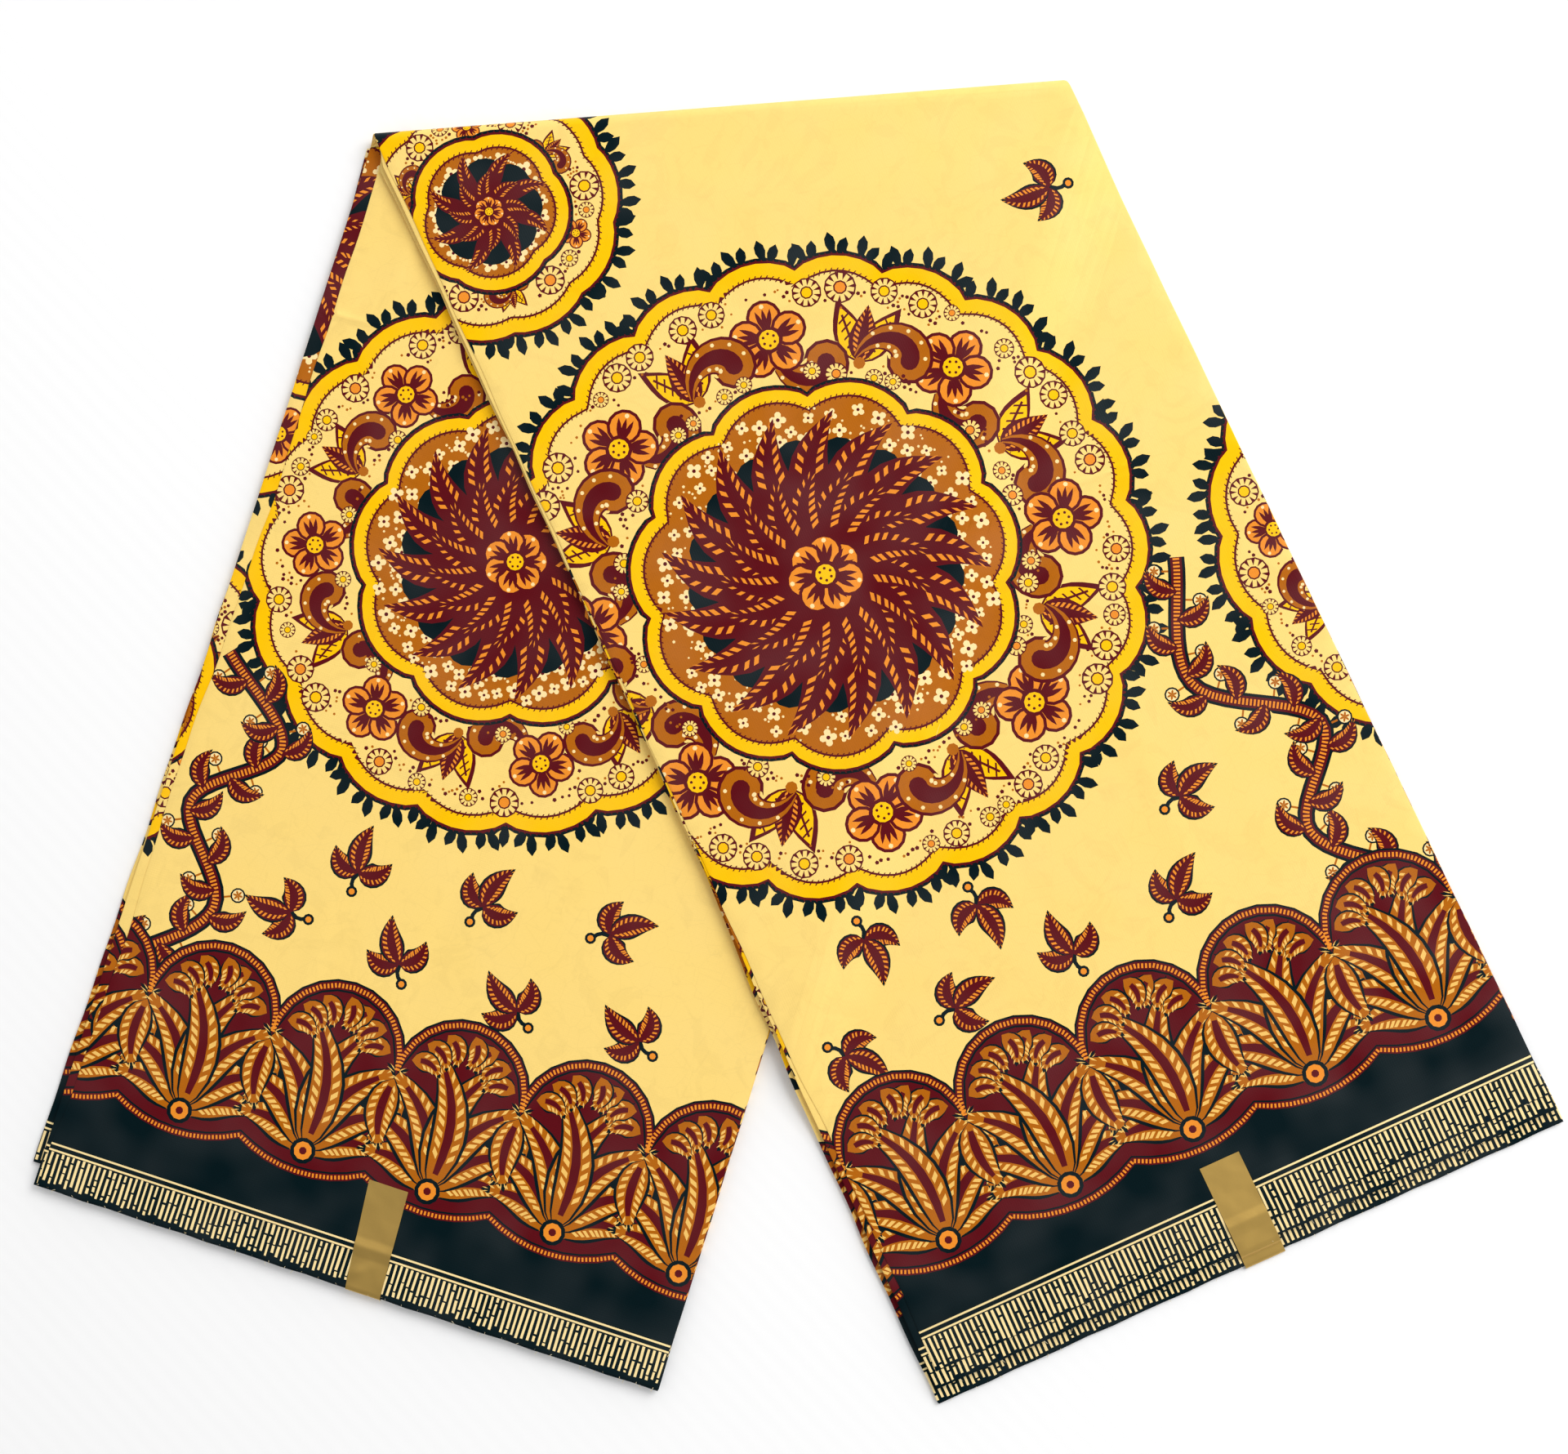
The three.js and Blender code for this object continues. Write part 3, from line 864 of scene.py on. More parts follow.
def lap_print(rosettes, sprigs, vines, seed, shift):
    """rosettes: (middle, radius, lobes). sprigs: (height, first, last, step, turn) of each row.
    vines: the places that each one passes."""
    shapes = [ground("cream", -2 * SELVEDGE, LEG_LENGTH + 2 * FOLD_REACH)]
    for at, radius, lobes in rosettes:
        shapes += place(rosette(radius, lobes, seed + int(radius)), at, 0.1)
    for height, first, last, step, turn in sprigs:
        for x in np.arange(first, last, step).tolist():
            at = complex(x, height + 5 * math.sin(x))
            shapes += place(sprig(SPRIG), at, turn + 1.3 * math.sin(x * 0.7))
    for stops in vines:
        shapes += garland(wavy(stops), VINE, seed)
    shapes.append(ground("green", -2 * SELVEDGE, BAND_TOP))
    shapes += arcade(LAP_WIDTH, BAYS, BAND_TOP - 12, ARCADE_TOP, shift)
    return shapes + selvedge(2 * (HALF_WIDTH + BLEED), SELVEDGE, seed)


print("a print starts with", ground("cream", 0.0, 1.0)[0])

# %% The three layouts
UPPER_PRINT = lap_print(
    [(complex(-46, 352), 146, 22), (complex(226, 262), 104, 16), (complex(-118, 574), 58, 10)],
    [(148, -128, 90, 56, 0.4), (186, -100, -19, 54, -0.6), (196, 62, 63, 52, 1.0), (470, 120, 151, 60, 2.0)],
    [[complex(150, 110), complex(106, 152), complex(132, 196), complex(86, 236), complex(104, 292)]], 3, 0.0)
LOWER_PRINT = lap_print(
    [(complex(-26, 342), 124, 18)],
    [(150, -80, 141, 58, 2.4), (190, -52, 110, 62, 0.3), (468, -60, 0, 54, 1.0)],
    [[complex(-150, 108), complex(-112, 146), complex(-138, 190), complex(-104, 226), complex(-142, 262)]],
    11, 24.0)
LAP_PRINT = lap_print(
    [(complex(-172, 452), 112, 18), (complex(-190, 236), 74, 12), (complex(190, 210), 96, 16),
     (complex(34, 408), 78, 12)],
    [(152, -84, 60, 56, 0.9), (196, -72, 70, 62, 2.2), (262, -60, 71, 58, 1.4), (520, -20, 141, 58, 0.2)],
    [], 29, 11.0)
print(len(UPPER_PRINT), "shapes on the upper leg and", len(LOWER_PRINT), "on the lower one")

# %% [markdown]
# ## Outlines of the laps
# A folded edge is never quite straight, and no two laps of a pile end at the same place. How far the laps
# stand out past the strip is given at a few places along each leg. Hems are cut edges, so they only
# waver.

# %% Edges along a leg
# (along from the fold, laps past the left edge, laps past the right edge, sheet past the left edge), in mm
UPPER_EDGE = [(-60, 4.6, 0, 0), (10, 2.6, .2, -.4), (170, 1.4, .4, -.2), (330, 1.6, .4, 0),
              (400, 4.0, .5, .4), (460, 5.0, .6, -.4), (560, 5.2, 1.4, -1.0), (590, 4.4, 1.2, -.4)]
LOWER_EDGE = [(50, 3.2, .5, -5.8), (100, .8, .5, -7.8), (165, .2, .5, -7.2), (230, .1, .5, -7.8),
              (305, 1.2, .5, -6.4), (380, 2.4, .5, -4.0), (440, 3.2, .5, -5.4), (500, 4.4, .5, -4.4),
              (580, 5.6, .5, -1.2)]
EDGES = {"upper": UPPER_EDGE, "lower": LOWER_EDGE}
FOLD_WAVER, HEM_WAVER = 0.45, 0.22      # mm
STEP = 6.0                              # mm between points along an edge


def edge_at(table, along, column):
    k = min(max(bisect.bisect([row[0] for row in table], along) - 1, 0), len(table) - 2)
    a, b = table[k], table[k + 1]
    waver = FOLD_WAVER * math.sin(along / 8.7 + 2 * column) * math.sin(along / 31 + column)
    return a[column] + (b[column] - a[column]) * float(smooth((along - a[0]) / (b[0] - a[0]))) + waver


def fold_height(leg, x, inward):
    """How high over the cut edge a lap is, at x across, where it is this far in from the fold."""
    side = 1 if leg == "upper" else -1
    return LEG_LENGTH - side * x * math.tan(SLANT) - inward / math.cos(SLANT)


def outline_of(leg, left, right, hem, inward):
    """left and right give how far the lap stands out at a height, hem how far past the cut edge."""
    def side(x, out, way):
        top = fold_height(leg, x, inward)
        heights = np.linspace(-hem, top, max(2, round((top + hem) / STEP)) + 1).tolist()
        return [complex(x + way * out(y), y) for y in heights]
    rows = side(HALF_WIDTH, right, 1) + side(-HALF_WIDTH, left, -1)[::-1]
    foot, across = rows[-1], rows[0] - rows[-1]
    count = round(LAP_WIDTH / STEP / 2)
    return rows + [foot + across * k / count + 1j * HEM_WAVER * math.sin(2.4 * k) for k in range(1, count)]


print(f"the upper laps stand out {edge_at(UPPER_EDGE, LEG_LENGTH, 1):.1f} mm on the left at the hem")

# %% Lines and points that let the cloth bend
SLOPE_LINES, BEND_LINES = 7, 13


def lines_of(leg):
    """Lines along the fold's turn, and on the upper leg along its slope too."""
    reach = HALF_WIDTH + BLEED
    if leg == "lower":
        return []
    lines = []
    for k in range(BEND_LINES):
        inward = BEND_RADIUS - BEND_MIDDLE * math.pi * k / BEND_LINES
        lines.append([complex(x, fold_height(leg, x, inward)) for x in (-reach, reach)])
    for k in range(SLOPE_LINES + 1):
        past = DROP_START + DROP_WIDTH * k / SLOPE_LINES
        ends = []
        for x in (-reach, reach):
            along = FOLD_REACH + (HALF_WIDTH - x) / math.tan(LEG_SPREAD) + past / math.sin(LEG_SPREAD)
            ends.append(complex(x, LEG_LENGTH - along))
        lines.append(ends)
    return lines


def loose_points(leg, outline, spacing):
    """A staggered grid for the slow waves, and close rows of points along each crease."""
    points = []
    for row in range(int((LEG_LENGTH + 3 * FOLD_REACH) / spacing)):
        for column in range(int(LAP_WIDTH / spacing) + 1):
            points.append(complex(-HALF_WIDTH + spacing * (column + 0.5 * (row % 2)), spacing * (row - 2)))
    for at, turn, reach, width, _, where in CREASES:
        if where == leg and width < spacing:
            for a in np.arange(-1.3 * reach, 1.3 * reach, max(1.5 * width, 3.0)):
                for b in (-2, -1, -0.5, 0, 0.5, 1, 2):
                    off = cmath.rect(1, math.radians(turn)) * (a + 1j * b * width)
                    spot = (at + off - FOLD_MIDDLE) / ALONG[leg]
                    points.append(complex(spot.imag, LEG_LENGTH - spot.real))
    points = np.array(points)
    return points[within(points, outline)].tolist()


print(len(lines_of("upper")), "lines cross the upper leg")

# %% [markdown]
# ## Leaving out what can't be seen
# A lap inside the pile shows only where it stands out past the lap above. Its print is clipped to those
# strips, so that a whole pile costs about as much as one top sheet.

# %% Clipping a print
def trimmed(path, bound):
    """The part of a path where bound(point) is above zero."""
    found = []
    for a, b in zip(path, path[1:] + path[:1]):
        here, there = bound(a), bound(b)
        if here >= 0:
            found.append(a)
        if (here >= 0) != (there >= 0):
            found.append(a + (b - a) * here / (here - there))
    return found


def kept_shapes(shapes, outline, cover, hidden):
    """Only the shapes that show: those that reach into the outline and out of what covers it.
    cover is (low, high, foot): between low and high across, and over foot, another lap lies on top."""
    low = (min(p.real for p in outline), min(p.imag for p in outline))
    high = (max(p.real for p in outline), max(p.imag for p in outline))
    found = []
    for ink, path in shapes:
        xs, ys = [p.real for p in path], [p.imag for p in path]
        reaches = max(xs) > low[0] and min(xs) < high[0] and max(ys) > low[1] and min(ys) < high[1]
        if not reaches or all(hidden(p) for p in path):
            continue
        if cover is None:
            found.append((ink, path))
            continue
        left, right, foot = cover
        for bound in (lambda p: left - p.real, lambda p: p.real - right, lambda p: foot - p.imag):
            part = trimmed(path, bound)
            if len(part) > 2:
                found.append((ink, part))
    return found


print(len(trimmed([0j, 4 + 0j, 4 + 4j, 4j], lambda p: 2 - p.real)), "corners in the half of a square")

# %% [markdown]
# ## Printed cotton
# The cloth is plain-woven cotton, printed with resin resist and pressed with starch. That gives flat,
# full inks, a faint sheen that is cloudy where the starch was rubbed, fine crackle where the resin broke,
# and a ghost of the lap beneath in the pale ground. The real threads are 0.36 mm apart, too fine to show
# here, so the weave is drawn about three times as coarse. All of it is noise on the flat cloth's own
# millimetres, so the weave and the marks go round the fold with the print.

# %% Helpers for materials
def node(tree, kind, links=None, **settings):
    """Adds a node. links gives, for a socket's name or number, another socket or a plain value."""
    made = tree.nodes.new(kind)
    made.location = (190 * len(tree.nodes), 0)
    for name, value in settings.items():
        setattr(made, name, value)
    for name, value in (links or {}).items():
        if isinstance(value, bpy.types.NodeSocket):
            tree.links.new(value, made.inputs[name])
        else:
            made.inputs[name].default_value = value
    return made


def finish_material(name, values):
    made = bpy.data.materials.new(name)
    made.use_nodes = True
    shader = made.node_tree.nodes["Principled BSDF"]
    for socket, value in values.items():
        shader.inputs[socket].default_value = value
    return made, made.node_tree, shader


print("a material starts from Principled BSDF and a few values")

# %% Printed plain-weave cotton
THREADS_PER_METRE = 950           # drawn; the real cloth has about 2800
WAVE_LENGTH = 0.314               # a Wave Texture of scale 1 repeats after this many units
CRACKLE_PER_MM = 0.105            # cells of cracked resin in one mm, so the cracks are 9.5 mm apart

cotton, tree, shader = finish_material("printed plain-weave cotton, starched", {
    "Roughness": 0.55, "Sheen Weight": 0.02, "Sheen Roughness": 0.4})
ink = node(tree, "ShaderNodeAttribute", attribute_name="ink").outputs["Color"]
flat = node(tree, "ShaderNodeAttribute", attribute_name="flat").outputs["Vector"]
threads = {"Vector": flat, "Scale": THREADS_PER_METRE * MM * WAVE_LENGTH, "Distortion": 0.6, "Detail": 1.0}
weft = node(tree, "ShaderNodeTexWave", threads, bands_direction="Y")
warp = node(tree, "ShaderNodeTexWave", threads, bands_direction="X")
weave = node(tree, "ShaderNodeMath", {0: weft.outputs["Fac"], 1: warp.outputs["Fac"]}, operation="ADD")
bump = node(tree, "ShaderNodeBump", {"Height": weave.outputs["Value"], "Strength": 0.12, "Distance": 0.0001})
tree.links.new(bump.outputs["Normal"], shader.inputs["Normal"])
print("threads are drawn", round(1 / (THREADS_PER_METRE * MM), 2), "mm apart")

# %% Slubs, crackle, show-through and rubbed starch
slub = node(tree, "ShaderNodeTexNoise", {"Vector": flat, "Scale": 0.9, "Detail": 3.0, "Roughness": 0.7})
uneven = node(tree, "ShaderNodeMapRange", {"Value": slub.outputs["Fac"], "To Min": 0.955, "To Max": 1.035})
cell = node(tree, "ShaderNodeTexVoronoi", {"Vector": flat, "Scale": CRACKLE_PER_MM, "Randomness": 1.0},
            feature="DISTANCE_TO_EDGE")
crackle = node(tree, "ShaderNodeMapRange", {"Value": cell.outputs["Distance"], "From Max": 0.03,
                                            "To Min": 0.97, "To Max": 1.0})
under = node(tree, "ShaderNodeTexNoise", {"Vector": flat, "Scale": 0.045, "Detail": 3.0, "Roughness": 0.6,
                                          "Distortion": 1.6})
ghost = node(tree, "ShaderNodeMapRange", {"Value": under.outputs["Fac"], "From Min": 0.52, "From Max": 0.6,
                                          "To Min": 1.0, "To Max": 0.965})
value = node(tree, "ShaderNodeMath", {0: uneven.outputs["Result"], 1: crackle.outputs["Result"]},
             operation="MULTIPLY")
value = node(tree, "ShaderNodeMath", {0: value.outputs["Value"], 1: ghost.outputs["Result"]},
             operation="MULTIPLY")
tint = node(tree, "ShaderNodeVectorMath", {0: ink, "Scale": value.outputs["Value"]}, operation="SCALE")
tree.links.new(tint.outputs["Vector"], shader.inputs["Base Color"])
handled = node(tree, "ShaderNodeTexNoise", {"Vector": flat, "Scale": 0.035, "Detail": 1.0})
rubbed = node(tree, "ShaderNodeMapRange", {"Value": handled.outputs["Fac"], "From Min": 0.35,
                                           "From Max": 0.7, "To Min": 0.05, "To Max": 0.26})
tree.links.new(rubbed.outputs["Result"], shader.inputs["Specular IOR Level"])
print(len(tree.nodes), "nodes in the cotton")

# %% [markdown]
# ## Gold foil, thread and the table
# The seals are thin foil stamped on paper, with a satin gold face: metallic, and rough enough to blur
# what it mirrors. A fine grain and a broad, shallow unevenness from fingers make its light vary. The
# loose threads are undyed cotton and fully matt. The table wears a plain white twill cover.

# %% Gold foil
foil, tree, shader = finish_material("gold hot-stamped foil, satin", {
    "Base Color": linear("C8A458"), "Metallic": 0.9, "Roughness": 0.3})
spot = node(tree, "ShaderNodeTexCoord").outputs["Object"]
pressed = node(tree, "ShaderNodeTexNoise", {"Vector": spot, "Scale": 90.0, "Detail": 1.0})
grain = node(tree, "ShaderNodeTexNoise", {"Vector": spot, "Scale": 900.0, "Detail": 2.0})
bump = node(tree, "ShaderNodeBump", {"Height": pressed.outputs["Fac"], "Strength": 0.4, "Distance": 0.001})
bump = node(tree, "ShaderNodeBump", {"Height": grain.outputs["Fac"], "Strength": 0.1, "Distance": 0.0002,
                                     "Normal": bump.outputs["Normal"]})
tree.links.new(bump.outputs["Normal"], shader.inputs["Normal"])
print(len(tree.nodes), "nodes in the foil")

# %% Thread and table cover
thread, _, _ = finish_material("undyed cotton thread", {"Base Color": linear("EBDDB8"), "Roughness": 0.8})

table, tree, shader = finish_material("white twill table cover", {
    "Base Color": linear("FBFBFB"), "Roughness": 0.9})
spot = node(tree, "ShaderNodeTexCoord").outputs["Object"]
twill = node(tree, "ShaderNodeTexWave", {"Vector": spot, "Scale": 60.0, "Distortion": 0.8},
             bands_direction="DIAGONAL")
bump = node(tree, "ShaderNodeBump", {"Height": twill.outputs["Fac"], "Strength": 0.06, "Distance": 0.0005})
tree.links.new(bump.outputs["Normal"], shader.inputs["Normal"])
print(len(bpy.data.materials), "materials")

# %% [markdown]
# ## The two top sheets
# The lap that shows on each leg is one closed shell. The upper one goes on over the fold and down to the
# table, as the real lap does, so its print runs over the turn without a seam. Just inside each folded
# edge a line is cut, so that the edge can round off.

# %% A flat lap from its outline and print
EDGE_BAND, EDGE_DROP = 0.7, 0.2           # a folded edge rounds off over this width, by this much, in mm
EDGE_ROWS = np.arange(-20.0, 661.0, 2.0)  # heights over the cut edge at which the edges are looked up


def edge_lines(leg, left, right, hem, inward):
    """A line just inside both folded edges, so that they can round off."""
    lines = []
    for x, out, way in ((HALF_WIDTH, right, 1), (-HALF_WIDTH, left, -1)):
        heights = np.arange(-hem + 0.2, fold_height(leg, x, inward), STEP).tolist()
        spots = [complex(x + way * (out(y) - EDGE_BAND), y) for y in heights]
        lines += list(zip(spots, spots[1:]))
    return lines


def lap(name, leg, shapes, left, right, hem, inward, grid, thickness, cover=None, hidden=lambda p: False):
    outline = outline_of(leg, left, right, hem, inward)
    lefts = np.array([-HALF_WIDTH - left(y) for y in EDGE_ROWS])
    rights = np.array([HALF_WIDTH + right(y) for y in EDGE_ROWS])

    def sink(x, y):
        inset = np.minimum(x - np.interp(y, EDGE_ROWS, lefts), np.interp(y, EDGE_ROWS, rights) - x)
        return EDGE_DROP * (1 - smooth(inset / EDGE_BAND))
    made = flat_cloth(name, outline, kept_shapes(shapes, outline, cover, hidden),
                      lines_of(leg) + edge_lines(leg, left, right, hem, inward),
                      loose_points(leg, outline, grid), thickness, sink)
    made.data.materials.append(cotton)
    print(name, len(made.data.polygons), "faces")
    return made


print(len(edge_lines("upper", lambda y: 0.0, lambda y: 0.0, 0.0, 0.0)), "lines for straight edges")

# %% Top sheets
SHEET_THICKNESS = 0.5             # the cloth is 0.26 mm thick, drawn thicker so that its edge shows
GRID = 8.5                        # mm between the loose points
COVER_MARGIN = 4                  # mm: print nearer than this to the edge of a covered part is still drawn
# how far in from the fold the laps end: the upper ones go round it, the lower ones start at its foot
LAP_ENDS = {"upper": BEND_RADIUS - BEND_MIDDLE * math.pi, "lower": BEND_RADIUS + 0.3}


def covered(leg, other):
    """A rule that says whether a place on one leg lies well within the other one."""
    def inside(point):
        spot = ALONG[leg] * (LEG_LENGTH - point.imag + 1j * point.real) / ALONG[other]
        return abs(spot.imag) < HALF_WIDTH - COVER_MARGIN and spot.real < LEG_LENGTH
    return inside


def top_sheet(leg, shapes, hem, hidden):
    """The lap that shows. Its left edge follows the table of edges, and its right edge is straight."""
    cloth = lap(f"{leg}_sheet", leg, shapes, lambda y: edge_at(EDGES[leg], LEG_LENGTH - y, 3),
                lambda y: 0.0, hem, LAP_ENDS[leg], GRID, SHEET_THICKNESS, hidden=hidden)
    return laid(cloth, leg, LEG_THICKNESS)


upper_sheet = top_sheet("upper", UPPER_PRINT, -0.5, lambda p: False)
lower_sheet = top_sheet("lower", LOWER_PRINT, 0.6, covered("lower", "upper"))
print("the sheets that show are", SHEET_THICKNESS, "mm thick")

# %% [markdown]
# ## The laps beneath
# Under each top sheet the strip is a pile of laps. They are drawn half as many and twice as thick as the
# real ones. The pile is in two bundles per leg, which end at different places, and that makes the ledges
# at the hem and the pale rolls beside the fold. Geometry Nodes repeat one printed lap downwards with
# small seeded slips. On the upper leg the bundles go round the fold inside the top sheet. The lowest lap
# of each leg is turned over, so that its print faces the table.

# %% Helpers for Geometry Nodes
def new_tree(name, source, inputs, result):
    """A tree that one mesh goes into and one comes out of: the tree, its input sockets, and their names."""
    tree = bpy.data.node_groups.new(name, "GeometryNodeTree")
    identifiers = {}
    for label, (kind, default) in {source: ("Geometry", None), **inputs}.items():
        socket = tree.interface.new_socket(label, in_out="INPUT", socket_type="NodeSocket" + kind)
        if default is not None:
            socket.default_value = default
        identifiers[label] = socket.identifier
    tree.interface.new_socket(result, in_out="OUTPUT", socket_type="NodeSocketGeometry")
    return tree, node(tree, "NodeGroupInput").outputs, identifiers


def finish_tree(tree, instances, material):
    """Makes the copies real, gives them their material and hands them out."""
    real = node(tree, "GeometryNodeRealizeInstances", {"Geometry": instances})
    dyed = node(tree, "GeometryNodeSetMaterial", {"Geometry": real.outputs["Geometry"],
                                                  "Material": material})
    node(tree, "NodeGroupOutput", {0: dyed.outputs["Geometry"]})


def grown(source, tree, inputs, values):
    """Runs a tree on an object and keeps the plain mesh that comes out of it."""
    modifier = source.modifiers.new("grown", "NODES")
    modifier.node_group = tree
    for name, value in values.items():
        modifier[inputs[name]] = value
    bpy.context.view_layer.update()
    graph = bpy.context.evaluated_depsgraph_get()
    mesh = bpy.data.meshes.new_from_object(source.evaluated_get(graph), preserve_all_data_layers=True,
                                           depsgraph=graph)
    source.modifiers.remove(modifier)
    source.data = mesh
    return source


def joined(name, parts):
    with bpy.context.temp_override(active_object=parts[0], selected_editable_objects=parts):
        bpy.ops.object.join()
    parts[0].name = parts[0].data.name = name
    return parts[0]


print("a tree's result is kept as a plain mesh, and its modifier is removed")

# %% A tree that piles up laps
LAP_THICKNESS, LAP_PITCH, LAP_SLIP = 0.5, 0.57, 0.3       # mm

pile, given, PILE_INPUTS = new_tree("pile of laps", "One lap", {
    "Laps": ("Int", 4), "Pitch": ("Float", LAP_PITCH * MM), "Slip": ("Float", LAP_SLIP * MM),
    "Seed": ("Int", 1), "Material": ("Material", None)}, "Pile")
down = node(pile, "ShaderNodeMath", {0: given["Pitch"], 1: -1.0}, operation="MULTIPLY")
step = node(pile, "ShaderNodeCombineXYZ", {"Z": down.outputs["Value"]})
stops = node(pile, "GeometryNodeMeshLine", {"Count": given["Laps"], "Offset": step.outputs["Vector"]})
laps = node(pile, "GeometryNodeInstanceOnPoints", {"Points": stops.outputs["Mesh"],
                                                   "Instance": given["One lap"]})
chance = node(pile, "FunctionNodeRandomValue", {0: (-1.0, -1.0, 0.0), 1: (1.0, 1.0, 0.0),
                                                "Seed": given["Seed"]}, data_type="FLOAT_VECTOR")
slip = node(pile, "ShaderNodeVectorMath", {0: chance.outputs[0], "Scale": given["Slip"]}, operation="SCALE")
moved = node(pile, "GeometryNodeTranslateInstances", {"Instances": laps.outputs["Instances"],
                                                      "Translation": slip.outputs["Vector"]})
finish_tree(pile, moved.outputs["Instances"], given["Material"])
print(len(pile.nodes), "nodes pile up laps")

# %% One lap of a bundle
COARSE_GRID = 19.0      # mm between the loose points of a lap that is mostly hidden
ROLL_LENGTH, ROLL_WIDTH = 171, 5        # the rolls at the left edge are bare ground this far from the fold
ROLL_RISE = 80                          # and on past it, round the turn, in mm
FOLD_EASE = 12.0        # mm over which a bundle's edge comes out from under the sheet at the fold


def bare_lap(leg, left, right, hem, inset, cover, seed, hidden=lambda p: False):
    """One flat lap. left and right are shares of how far the leg's laps stand out, inset is for the fold."""
    def out(share, x, column):
        start = fold_height(leg, x, BEND_RADIUS)

        def reach(y):
            free = float(smooth((start - y) / FOLD_EASE)) if leg == "upper" else 1.0
            return free * share * edge_at(EDGES[leg], LEG_LENGTH - y, column) + (1 - free) * inset
        return reach
    shapes = place(LAP_PRINT, complex(0, -hem))
    if leg == "upper":
        shapes.append(patch("cream", -HALF_WIDTH - BLEED, -HALF_WIDTH + ROLL_WIDTH,
                            LEG_LENGTH - ROLL_LENGTH, LEG_LENGTH + ROLL_RISE))
    return lap(f"{leg}_lap_{seed}", leg, shapes, out(left, -HALF_WIDTH, 1), out(right, HALF_WIDTH, 2), hem,
               LAP_ENDS[leg], COARSE_GRID, LAP_THICKNESS, cover, hidden)


print("rolls are bare for", ROLL_LENGTH, "mm from the fold")

# %% The four bundles
# leg, laps, height of the top, left share, right share, past the cut edge, inset round the fold,
# and what the lap above hides: from, to across, and from which height; then a seed
BUNDLES = [
    ("upper", 5, 5.13, 0.48, 0.2, 7.0, -1.0, (-150.5, 150.0, 2.5), 5),
    ("upper", 3, 2.28, 1.0, 0.9, 13.8, -2.2, (-150.5, 150.0, -5.0), 8),
    ("lower", 5, 5.13, 0.12, 0.3, 1.4, 0.0, (-142.0, 150.0, 2.5), 13),
    ("lower", 3, 2.28, 0.95, 0.2, -8.0, 0.0, (-151.5, 150.0, 10.0), 21),
]


def bundle(leg, count, top, left, right, hem, inset, cover, seed):
    """A pile of laps, whose UV map takes one half of the width, so that two bundles can share one."""
    one = bare_lap(leg, left, right, hem, inset, cover, seed)
    grown(one, pile, PILE_INPUTS, {"Laps": count, "Pitch": LAP_PITCH * MM, "Slip": LAP_SLIP * MM,
                                   "Seed": seed, "Material": cotton})
    corners = np.empty(len(one.data.loops) * 2, np.float32)
    layer = one.data.uv_layers[UV_NAME].data
    layer.foreach_get("uv", corners)
    corners[::2] = corners[::2] / 2 + (0.5 if top < LEG_THICKNESS / 2 else 0.0)
    layer.foreach_set("uv", corners)
    return laid(one, leg, top)


bundles = [bundle(*row) for row in BUNDLES]
upper_laps = joined("upper_laps", bundles[:2])
lower_laps = joined("lower_laps", bundles[2:])
print("piles:", len(upper_laps.data.polygons), "and", len(lower_laps.data.polygons), "faces")

# %% The laps that face the table
UNDERLAP_TOP = 0.57     # mm over the leg's underside


def underlap(leg, left, right, hem, inset, seed, hidden):
    """The lowest lap of a leg, turned over so that its print faces the table."""
    one = bare_lap(leg, left, right, hem, inset, None, seed, hidden)
    points = np.empty(len(one.data.vertices) * 3)
    one.data.vertices.foreach_get("co", points)
    points[2::3] = -LAP_THICKNESS * MM - points[2::3]
    one.data.vertices.foreach_set("co", points)
    one.data.flip_normals()
    one.name = one.data.name = f"{leg}_underlap"
    return laid(one, leg, UNDERLAP_TOP)


upper_underlap = underlap("upper", 1.0, 0.9, 13.8, -2.2, 34, covered("upper", "lower"))
lower_underlap = underlap("lower", 0.95, 0.2, -8.0, 0.0, 55, lambda p: False)
print("underlaps:", len(upper_underlap.data.polygons), "and", len(lower_underlap.data.polygons), "faces")

# %% [markdown]
# ## Foil seals
# A strip of foil is stuck round each hem so that a buyer can see the piece was never opened. It lies flat
# on the top sheet, bends softly near the cut edge and goes down over the ledges. It is plain gold all
# over. A grid of points along a short profile gives it, with a second grid a foil's thickness below,
# because a bent strip has no other shape than its profile.

# %% Profiles of the seals
FOIL_THICKNESS = 0.14
SEAL_ROWS, SEAL_COLUMNS = 72, 18
# rows of (along the leg, height over the leg's underside), then the left and right edge at both ends,
# and the height of a small crumple, in mm
UPPER_SEAL = ([(540.5, 5.86), (556, 5.88), (566, 6.05), (569.6, 7.0), (570.4, 7.0), (575, 6.1), (582.0, 5.5),
               (584.4, 4.6), (585.6, 3.1), (589.0, 2.62), (590.5, 1.7), (590.9, 0.2)],
              (-4.8, 14.6, -4.4, 15.2), 0.2)
LOWER_SEAL = ([(526, 5.86), (542, 5.88), (552, 6.05), (555.6, 6.9), (556.4, 6.9), (561, 6.05), (575.4, 5.85),
               (577.1, 5.3), (577.5, 3.6), (577.3, 1.8), (576.8, 0.2)], (-3.3, 15.8, 1.8, 18.4), 0.9)


